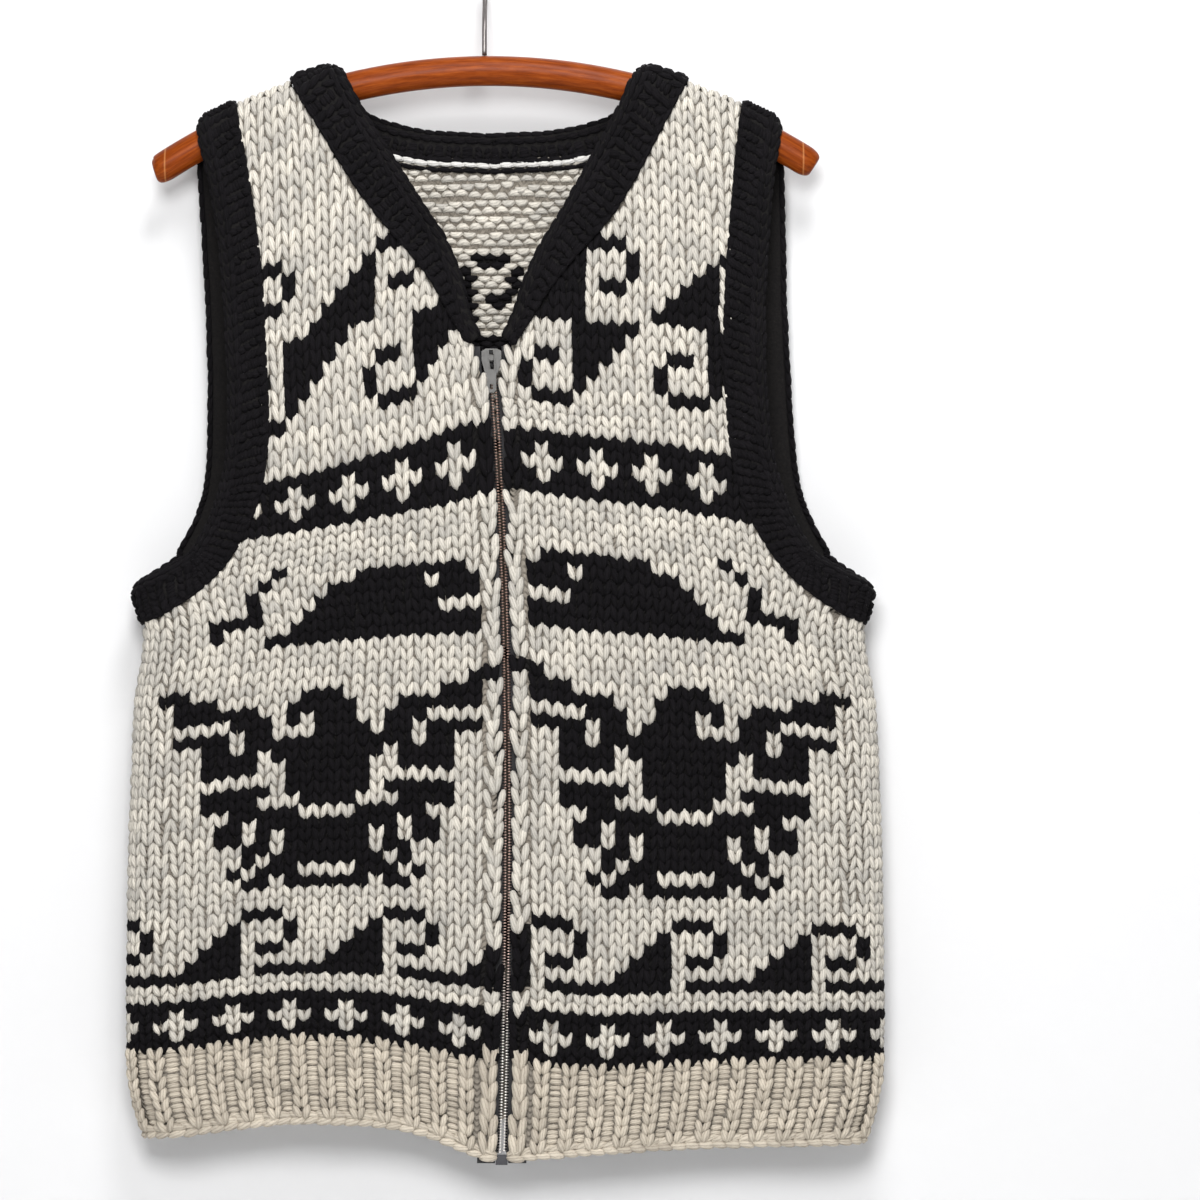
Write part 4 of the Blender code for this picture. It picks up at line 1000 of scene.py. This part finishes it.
def build_back():
    """The back with its yarn outside, and its purl side where the neck shows it."""
    halves, runs, inner = [], {"light": [], "dark": []}, {"light": [], "dark": []}
    for side, wave_steps, cross_step in ((1, ((9, 1), (3, 1), (2, 1)), 1),
                                         (-1, ((8, -1), (2, -1), (1, -1)), 2)):
        dark = panel_chart(BACK_COLUMNS, wave_steps, cross_step)
        sheet, yarn = build_panel(side, 1.0, BACK_COLUMNS, dark, few=True)
        halves.append(sheet)
        for key in runs:
            runs[key] += yarn[key]
        r, s = crossed(np.arange(INSIDE_ROW, ROWS), np.arange(INSIDE_COLUMNS))
        a, b = s + 0.5, r.astype(float)
        keep = inside_panel(a, row_length(side, 1.0, a, b + 0.5), -3.5 * MM)
        a, b, is_dark = a[keep], b[keep], dark[r[keep], s[keep]]
        ground = panel_ground(side, 1.0)
        for key, chosen in by_wool(is_dark):
            wide = np.ones(int(chosen.sum()))
            for shift_a, shift_b, bow in ((0.0, 0.44, 0.18), (-0.5, 0.16, -0.18)):
                inner[key] += purl_runs(ground, a[chosen] + shift_a, b[chosen] + shift_b, wide, bow=bow,
                                        inward=True, lift=-2.1 * MM, radius=2.55 * MM, long=0.5)
    yarn = split_yarn("back", runs, parts=2) + split_yarn("back_inside", inner)
    sheet_piece("back_cloth", halves, "back")


# Bands and ribs


def band_patch(line_sides, thick, inward):
    """A band's own ground as a fine grid: along the pattern line, and across from the seam to the free edge.
    Each line point steps off square to the line, in the flat of the cloth."""
    share = np.linspace(-0.6, 1.0, 17)
    places, normals, widths = [], [], []
    for side, line, back_to_front in line_sides:
        flat = np.stack([line[:, 0] * STITCH, line[:, 1]], axis=1)
        tangent = unit(np.gradient(flat, axis=0))
        away = np.stack([tangent[:, 1], -tangent[:, 0]], axis=1) * inward
        at = flat[:, None, :] + away[:, None, :] * (line[:, 2, None] * share[None, :])[..., None]
        base, normal = footing(side, at[..., 0] / STITCH, at[..., 1])
        step = -1 if back_to_front else 1
        places.append(base[::step])
        normals.append(normal[::step])
        widths.append(line[::step, 2])
    places, normals, widths = np.concatenate(places), np.concatenate(normals), np.concatenate(widths)
    seam = places[:, 2]
    run = np.concatenate([[0.0], np.cumsum(np.linalg.norm(np.diff(seam, axis=0), axis=1))])
    return {"at": places, "up": normals, "wide": widths, "run": run, "share": share, "thick": thick}


def patch_ground(patch, columns, rows, closed, edge=8.5 * MM):
    """A band's ground in stitch terms: columns along it, and rows across, with one row to the free edge's
    chain. Points between the grid's are read in both directions by straight shares."""
    run, share = patch["run"], patch["share"]

    def at(a, b):
        u = a / columns * run[-1]
        u = np.mod(u, run[-1]) if closed else np.clip(u, 0.0, run[-1])
        i = np.clip(np.searchsorted(run, u) - 1, 0, len(run) - 2)
        f = ((u - run[i]) / np.maximum(run[i + 1] - run[i], 1e-9))[..., None]
        wide = np.interp(u, run, patch["wide"])
        v = np.where(b < rows, b / rows * (wide - edge), wide - edge + (b - rows) * edge) / wide
        j = np.clip(np.searchsorted(share, v) - 1, 0, len(share) - 2)
        g = ((v - share[j]) / (share[j + 1] - share[j]))[..., None]
        out = []
        for grid in (patch["at"], patch["up"]):
            low = grid[i, j] * (1 - f) + grid[i + 1, j] * f
            high = grid[i, j + 1] * (1 - f) + grid[i + 1, j + 1] * f
            out.append(low * (1 - g) + high * g)
        return out[0], unit(out[1])
    return at


def chain_runs(ground, count, row, lift, radius, spread=0.34, drop=2.2 * MM, step=1.0):
    """A cast-off chain along an edge: each link's two legs open from its foot, one on the outer face and
    one on the edge itself, and the next link covers their ends."""
    a = np.arange(count) * step
    b = np.full(count, row)
    t, share = LEG_T, LEG_SHARE
    runs = []
    for hand, low in ((-1.0, 0.0), (1.0, drop)):
        swell = 1.0 + chance.normal(0.0, 0.05, count)[:, None]
        along = (-0.42 + 1.42 * t)[None, :] * step
        out = hand * (0.10 + spread * t[None, :]) + chance.normal(0.0, 0.02, count)[:, None]
        rise = (-1.0 + 1.9 * np.sin(math.pi * t) ** 0.8)[None, :] * MM + lift - low * t[None, :] ** 0.5
        runs.append(laid(ground, a[:, None] + along, b[:, None] + out, rise, radius * share[None, :] * swell,
                         shade_of(a, b)))
    return runs


def band_backing(name, patch, closed):
    """The band's body behind its yarn, swept round a full section: a plain inner face and a crowned outer."""
    thick = patch["thick"]
    shape = np.array([(0.0, 0.05), (0.0, 0.62), (0.3, 0.72), (0.75, 0.72), (0.95, 0.5), (0.97, 0.25),
                      (0.9, 0.05), (0.5, 0.02)])
    share, rise = shape[:, 0], (shape[:, 1] - 0.5) * thick + 0.5 * (thick - CLOTH_T)
    i = np.unique(np.linspace(0, len(patch["run"]) - 1, 160).round().astype(int))
    j = np.interp(share, patch["share"], np.arange(len(patch["share"])))
    low = np.floor(j).astype(int)
    high = np.minimum(low + 1, len(patch["share"]) - 1)
    f = (j - low)[None, :, None]
    base = patch["at"][i][:, low] * (1 - f) + patch["at"][i][:, high] * f
    up = unit(patch["up"][i][:, low] * (1 - f) + patch["up"][i][:, high] * f)
    points = base + up * rise[None, :, None]
    if closed:
        points = points[:-1]
    piece = grid_piece(name, points, PAINTED_SHADE_WOOL_BEHIND, closed_u=closed, closed_v=True, cap=not closed)
    mesh = piece.data
    mesh.attributes.new("shade", "FLOAT", "FACE").data.foreach_set("value", np.ones(len(mesh.polygons)))
    return piece


def build_band(name, patch, closed, rows):
    """A ribbed band: knit columns with purl columns between, a rope of yarn along its seam, a chain along
    the free edge, and its backing."""
    length = patch["run"][-1]
    columns = 2 * int(round(length / RIB_PITCH))
    ground = patch_ground(patch, columns, rows, closed)
    thick = patch["thick"]
    top = 0.5 * (thick - CLOTH_T) + 0.5 * thick - 2.2 * MM
    runs = []
    a = np.arange(0, columns, 2) + 0.5
    for row in np.arange(rows) + 0.3:
        b = np.full(len(a), row)
        runs += knit_runs(ground, a, b, np.full(len(a), 1.2), lift=top - 0.2 * MM, radius=2.6 * MM, few=True)
        for half in (0.0, 0.5):
            runs += purl_runs(ground, a + 1.0, b + half, np.full(len(a), 0.8), lift=top - 0.5 * MM,
                              radius=2.2 * MM, bow=0.1, long=0.5)
    links = int(round(length / BAND_LINK))
    step = columns / links
    runs += chain_runs(ground, links, 0.12, top - 1.1 * MM, 1.9 * MM, step=step, spread=0.06, drop=0.0)
    runs += chain_runs(ground, links, rows + 0.38, top - 0.2 * MM, 2.3 * MM, step=step, spread=0.22)
    runs += chain_runs(ground, links, rows + 0.72, top - 3.0 * MM, 2.3 * MM, step=step, spread=0.16)
    runs = [run if run[0].shape[1] == len(FEW_T) else thinned(run) for run in runs]
    yarn = dress(yarn_piece(name + "_yarn", runs, DARK_WOOL), "vest")
    body = dress(band_backing(name + "_cloth", patch, closed), "vest")
    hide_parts(name)


def rope_runs(ground, a, b, step, radius, lift):
    """A line of yarn seen from the cloth's inner face: each run is a little over one link long and slants
    across the line, and the next one covers its end."""
    t, share = FEW_T, FEW_SHARE
    along = (-0.6 + 1.25 * t)[None, :] * step + 0.0 * a[:, None]
    out = (0.14 * (t - 0.5))[None, :] + chance.normal(0.0, 0.02, len(a))[:, None]
    rise = lift - 0.5 * MM * np.sin(math.pi * t)[None, :] + 0.0 * a[:, None]
    swell = 1.0 + chance.normal(0.0, 0.06, len(a))[:, None]
    return [laid(ground, a[:, None] + along, b + out, rise, radius * share[None, :] * swell,
                 shade_of(a, 0.0 * a))]


def build_neck_inside(patch):
    """The back neck's inner face: the band's own ribs, and below it one pale and one dark line of yarn."""
    run = patch["run"]
    columns = 2 * int(round(run[-1] / RIB_PITCH))
    ground = patch_ground(patch, columns, 2, False)
    ridge = float(np.interp(0.0, NECK_LINE[:, 1], run[:len(NECK_LINE)])) / run[-1] * columns
    a = np.arange(0, columns, 2) + 0.5
    a = a[(a > ridge + 0.5) & (a < columns - ridge - 1.5)]
    runs = []
    for row in (0.15, 0.75, 1.35):
        b = np.full(len(a), row)
        runs += knit_runs(ground, a + 1.0, b, np.full(len(a), 1.1), tall=0.62, few=True, inward=True,
                          lift=-1.5 * MM, radius=2.3 * MM)
        for half in (0.0, 0.3):
            runs += purl_runs(ground, a, b + half, np.full(len(a), 0.9), inward=True, lift=-0.9 * MM,
                              radius=2.1 * MM, bow=0.08)
    links = int((columns - 2.0 * ridge) / columns * run[-1] / INSIDE_LINK)
    step = (columns - 2.0 * ridge) / links
    along = ridge + (np.arange(links) + 0.5) * step
    runs += rope_runs(ground, along, 2.45, step, 2.5 * MM, -1.6 * MM)
    runs += rope_runs(ground, along, 0.08, step, 2.3 * MM, -3.0 * MM)
    dark_line = rope_runs(ground, along, -1.12, step, 1.8 * MM, -3.6 * MM)
    pale_line = rope_runs(ground, along, -0.36, step, 2.4 * MM, -3.1 * MM)
    dress(yarn_piece("neck_inside_dark_yarn", runs + dark_line, DARK_WOOL), "vest")
    dress(yarn_piece("neck_inside_pale_yarn", pale_line, PALE_WOOL), "vest")


def build_bands():
    """Both armhole bands and the neck band."""
    for side, name in ((1, "armhole_band_left"), (-1, "armhole_band_right")):
        patch = band_patch([(side, ARM_LINE, False)], ARM_BAND_T, 1.0)
        build_band(name, patch, True, 4)
    patch = band_patch([(1, NECK_LINE, False), (-1, NECK_LINE, True)], NECK_BAND_T, -1.0)
    build_band("neck_band", patch, False, 3)
    build_neck_inside(patch)


def hem_ground(side, face, rows):
    """The ground of a hem rib: columns across, and rows up from the cast-off edge."""
    def at(c, row):
        mu = body_length(side, c, face > 0) + rib_height(c * STITCH, face > 0) * (1.0 - row / rows)
        return footing(side, c, face * mu)
    return at


def build_rib(name, sides, face):
    """A ribbed hem: raised knit columns, sunk purl columns filled by two bumps a row, a thick edge stitch
    beside the zip, a rope of cast-off links and its backing."""
    runs, halves, few = [], [], face > 0
    for side in sides:
        ground = hem_ground(side, face, RIB_ROWS)
        zip_edge = 0.0 if face > 0 else ZIP_EDGE / STITCH
        start = 0.0 if face > 0 else zip_edge + 1.1
        step = (STITCHES - start) / RIB_PAIRS
        column = start + (np.arange(RIB_PAIRS) + 0.42) * step
        for row in np.arange(0.7, 8.3, 1.0):
            b = np.full(RIB_PAIRS, row)
            runs += knit_runs(ground, column, b, np.ones(RIB_PAIRS), lift=1.7 * MM, radius=2.55 * MM,
                              few=few)
            for half in (0.0, 0.5):
                runs += purl_runs(ground, column + 0.5 * step, b + half, np.full(RIB_PAIRS, 0.95), few=few,
                                  lift=-1.1 * MM, radius=1.95 * MM, bow=0.08)
        if face < 0:
            b = np.arange(0.9, 8.6, 1.45)
            runs += knit_runs(ground, np.full(len(b), zip_edge + 0.36), b, np.ones(len(b)), tall=1.5,
                              lift=0.9 * MM, radius=3.0 * MM, loose=0.08)
        edge = chain_runs(lambda a, b: ground(zip_edge + a, b), RIB_LINKS, 0.42, 0.2 * MM, 2.8 * MM,
                          spread=0.36, step=(STITCHES - zip_edge) / RIB_LINKS, drop=0.6 * MM)
        runs += [thinned(run) for run in edge] if few else edge
        tall, across = RIB_CELLS
        c = np.tile(np.linspace(zip_edge, STITCHES, across + 1), (tall + 1, 1))
        rows = np.linspace(0.1, RIB_ROWS, tall + 1)
        every = np.ones(RIB_CELLS, dtype=bool)
        halves.append(backing_half(side, face, ground, c, rows, every, ~every))
    yarn = dress(yarn_piece(name + "_yarn", runs, RIB_WOOL), "vest")
    sheet_piece(name + "_cloth", halves, name)


def build_ribs():
    """The ribbed hems of both fronts and the back."""
    build_rib("hem_rib_front_left", (1,), -1.0)
    build_rib("hem_rib_front_right", (-1,), -1.0)
    build_rib("hem_rib_back", (1, -1), 1.0)


# Zip and hanger


def build_tapes():
    """The woven tapes, which clear the slider above and the box below and meet the teeth between them."""
    drops = np.linspace(ZIP_TOP - 1.5 * MM, BOX_TOP + 5.5 * MM, 120)
    near = np.where(drops < ZIP_TOP + SLIDER_LENGTH, 7.0 * MM,
                    np.where(drops > BOX_TOP - 1 * MM, 4.2 * MM, CHAIN_HALF - 1.2 * MM))
    off = near[:, None] + (TAPE_OUT - near)[:, None] * np.linspace(0.0, 1.0, 5)[None, :]
    for side, name in ((1.0, "left"), (-1.0, "right")):
        points = zip_point(side * off, drops[:, None], TAPE_LEVEL)
        if side > 0:
            points = points[::-1]
        piece = grid_piece(f"zip_tape_{name}_weave", points, TAPE)
        thicken(piece, 0.6 * MM, 0.0)
        dress(piece, "vest")
        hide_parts(f"zip_tape_{name}")


def build_teeth():
    """The closed chain: teeth of the two tapes by turns, each a six-sided post that reaches past the
    middle line, fullest along its reach and smaller at its ends."""
    count = 2 * int((BOX_TOP - ZIP_TOP - SLIDER_LENGTH) / TOOTH_PITCH)
    centre = ZIP_TOP + SLIDER_LENGTH + (np.arange(count) + 0.5) * 0.5 * TOOTH_PITCH
    hand = np.where(np.arange(count) % 2 == 0, 1.0, -1.0)
    section = np.array(TOOTH_SECTION)
    outline = np.stack([0.0 * section[:, 0], -section[:, 1] * 1.6, section[:, 0] * 0.62], axis=1) * MM
    rings = []
    for reach, share in TOOTH_STEPS:
        off = hand * (CHAIN_HALF - 0.1 * MM - (reach - 0.55) * MM * 0.92)
        base = zip_point(off, centre, TAPE_LEVEL + 0.2 * MM)
        rings.append(base[:, None, :] + outline * share)
    rings = np.stack(rings, axis=1)
    foot, head = rings[:, :1].mean(axis=2), rings[:, -1:].mean(axis=2)
    verts = np.concatenate([foot, rings.reshape(count, -1, 3), head], axis=1)
    faces = tipped_faces(*rings.shape[1:3])
    corners = []
    for which, turn in ((1.0, -1), (-1.0, 1)):
        one = np.concatenate([part[:, ::turn].ravel() for part in faces])
        first = verts.shape[1] * np.nonzero(hand == which)[0]
        corners.append((one[None, :] + first[:, None]).ravel())
    teeth = mesh_piece("zip_teeth", verts.reshape(-1, 3), np.concatenate(corners),
                       np.tile(face_sizes(faces), count), TEETH, smooth=False)
    dress(teeth, "vest")
    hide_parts("zip_chain")


def build_slider():
    """New finishes on the slider, the tab and the box, and a dark strip on the slider's face."""
    for node, look in (("zip_slider", NICKEL), ("zip_pull_tab", NICKEL), ("zip_bottom_box", BOX_METAL)):
        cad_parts[node].material_slots[0].material = look
    drops = ZIP_TOP + np.linspace(1.0, 13.2, 9) * MM
    wide = np.array([-1.2, -1.2, 1.2, 1.2]) * MM
    level = np.array([-0.6, 0.25, 0.25, -0.6]) * MM
    strip = zip_point(wide[None, :], drops[:, None], level[None, :])
    dark_strip = grid_piece("zip_slider_dark_strip", strip, DARK_NICKEL, closed_v=True, cap=True, smooth=False)
    dress(dark_strip, "vest")


def build_bow():
    """The bent dowel. Its ends round off over BOW_END: the reach follows a cosine and the thickness a
    power of the sine."""
    turn = np.linspace(0.0, 0.5 * math.pi, 10)
    inset = BOW_END * (1.0 - np.cos(turn))
    share = 0.5 + 0.5 * np.sin(turn) ** 0.8
    straight = np.linspace(-BOW_HALF_SPAN, BOW_HALF_SPAN, 121)[4:-4]
    x = np.concatenate([-BOW_HALF_SPAN + inset, straight, BOW_HALF_SPAN - inset[::-1]])
    radii = DOWEL_R * np.concatenate([share, np.ones(len(straight)), share[::-1]])
    path = np.stack([x, 0 * x, ZERO_Z - bow_drop(x - BOW_TILT_X)], axis=1)
    rings = tube_rings(path, radii, 40, np.array([0.0, 1.0, 0.0]))
    bow = grid_piece("hanger_bow_wood", rings, WOOD, closed_v=True, cap=True)
    dress(bow, "vest")
    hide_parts("hanger_bow")


def build_hook():
    """The wire hook: a straight stem, a cubic curve out to the loop, and the loop's arc."""
    centre = WIRE_R - HOOK_R
    foot = WOOD_TOP_Z + GAP
    stem = np.linspace(foot, foot + HOOK_STEM, 5)
    first = np.array([HOOK_R * math.cos(HOOK_LEAVES), centre + HOOK_R * math.sin(HOOK_LEAVES)])
    heading = np.array([-math.sin(HOOK_LEAVES), math.cos(HOOK_LEAVES)])
    start = np.array([0.0, stem[-1]])
    t = np.linspace(0.0, 1.0, 17)[1:, None]
    bend = ((1 - t) ** 3 * start + 3 * (1 - t) ** 2 * t * (start + [0.0, HOOK_PULL])
            + 3 * (1 - t) * t**2 * (first - heading * HOOK_PULL) + t**3 * first)
    angle = np.linspace(HOOK_LEAVES, HOOK_ENDS, 60)[1:]
    loop = np.stack([HOOK_R * np.cos(angle), centre + HOOK_R * np.sin(angle)], axis=1)
    path = np.vstack([np.stack([0 * stem, stem], axis=1), bend, loop])
    path = np.column_stack([np.zeros(len(path)), path])
    rings = tube_rings(path, WIRE_R, 16, np.array([1.0, 0.0, 0.0]))
    hook = grid_piece("hanger_hook_wire", rings, WIRE, closed_v=True, cap=True)
    dress(hook, "vest")
    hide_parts("hanger_hook")


# Floor, wall, light and camera


def stage_plane(name, centre, across, along, half, look):
    """A flat square of the room, from its centre and its two half sides."""
    a, b = np.asarray(across) * half, np.asarray(along) * half
    points = np.array([[centre - a - b, centre + a - b], [centre - a + b, centre + a + b]])
    grid_piece(name, points, look)


def build_room():
    """A pale floor, a white wall close behind that only the front sees, soft light and the camera."""
    floor, tree, shader = new_look("pale_floor", 0.8)
    shader.inputs["Base Color"].default_value = (0.85, 0.85, 0.85, 1.0)
    stage_plane("floor", np.array([0.0, 0.0, -1.25]), (1, 0, 0), (0, 1, 0), 4.0, floor)
    wall, tree, shader = new_look("white_wall", 0.9)
    shader.inputs["Base Color"].default_value = (0.56, 0.56, 0.565, 1.0)
    clear = add(tree, "ShaderNodeBsdfTransparent")
    mix = add(tree, "ShaderNodeMixShader")
    behind = add(tree, "ShaderNodeNewGeometry").outputs["Backfacing"]
    shadow = add(tree, "ShaderNodeLightPath").outputs["Is Shadow Ray"]
    tree.links.new(maths(tree, "MAXIMUM", behind, shadow), mix.inputs[0])
    tree.links.new(shader.outputs[0], mix.inputs[1])
    tree.links.new(clear.outputs[0], mix.inputs[2])
    tree.links.new(mix.outputs[0], tree.nodes["Material Output"].inputs["Surface"])
    stage_plane("wall", np.array([0.0, 0.030, -0.2]), (1, 0, 0), (0, 0, 1), 1.05, wall)

    world = bpy.data.worlds.new("room")
    bpy.context.scene.world = world
    world.use_nodes = True
    world.node_tree.nodes["Background"].inputs[0].default_value = (1.0, 1.0, 1.0, 1.0)
    world.node_tree.nodes["Background"].inputs[1].default_value = 0.32
    lamps = (("key", (-0.1, -2.2, 0.45), 0.9, 54.0), ("upper", (0.2, -1.0, 1.1), 0.6, 25.0),
             ("fill", (0.5, -2.6, 0.3), 2.0, 6.0), ("rear", (0.4, 2.4, 1.0), 1.6, 60.0))
    for name, place, size, power in lamps:
        lamp = bpy.data.lights.new(name, "AREA")
        lamp.shape = "DISK"
        lamp.size = size
        lamp.energy = power
        thing = bpy.data.objects.new(name, lamp)
        thing.location = place
        aim = np.array([0.0, 0.0, -0.4]) - np.array(place)
        yaw = math.atan2(aim[0], -aim[1])
        tip = math.atan2(np.hypot(aim[0], aim[1]), -aim[2])
        thing.rotation_euler = (tip, 0.0, math.pi + yaw)
        bpy.context.scene.collection.objects.link(thing)

    bpy.context.scene.view_settings.view_transform = "Standard"
    camera = bpy.data.cameras.new("camera")
    width_seen, distance = 0.78, 3.0
    camera.lens = 36.0 / width_seen * distance
    camera.clip_end = 50.0
    eye = bpy.data.objects.new("camera", camera)
    eye.location = (0.0751, -distance, -0.414)
    eye.rotation_euler = (0.5 * math.pi, 0.0, 0.0)
    bpy.context.scene.collection.objects.link(eye)
    bpy.context.scene.camera = eye


build_room()
build_fronts()
build_back()
build_ribs()
build_bands()
build_tapes()
build_teeth()
build_slider()
build_bow()
build_hook()
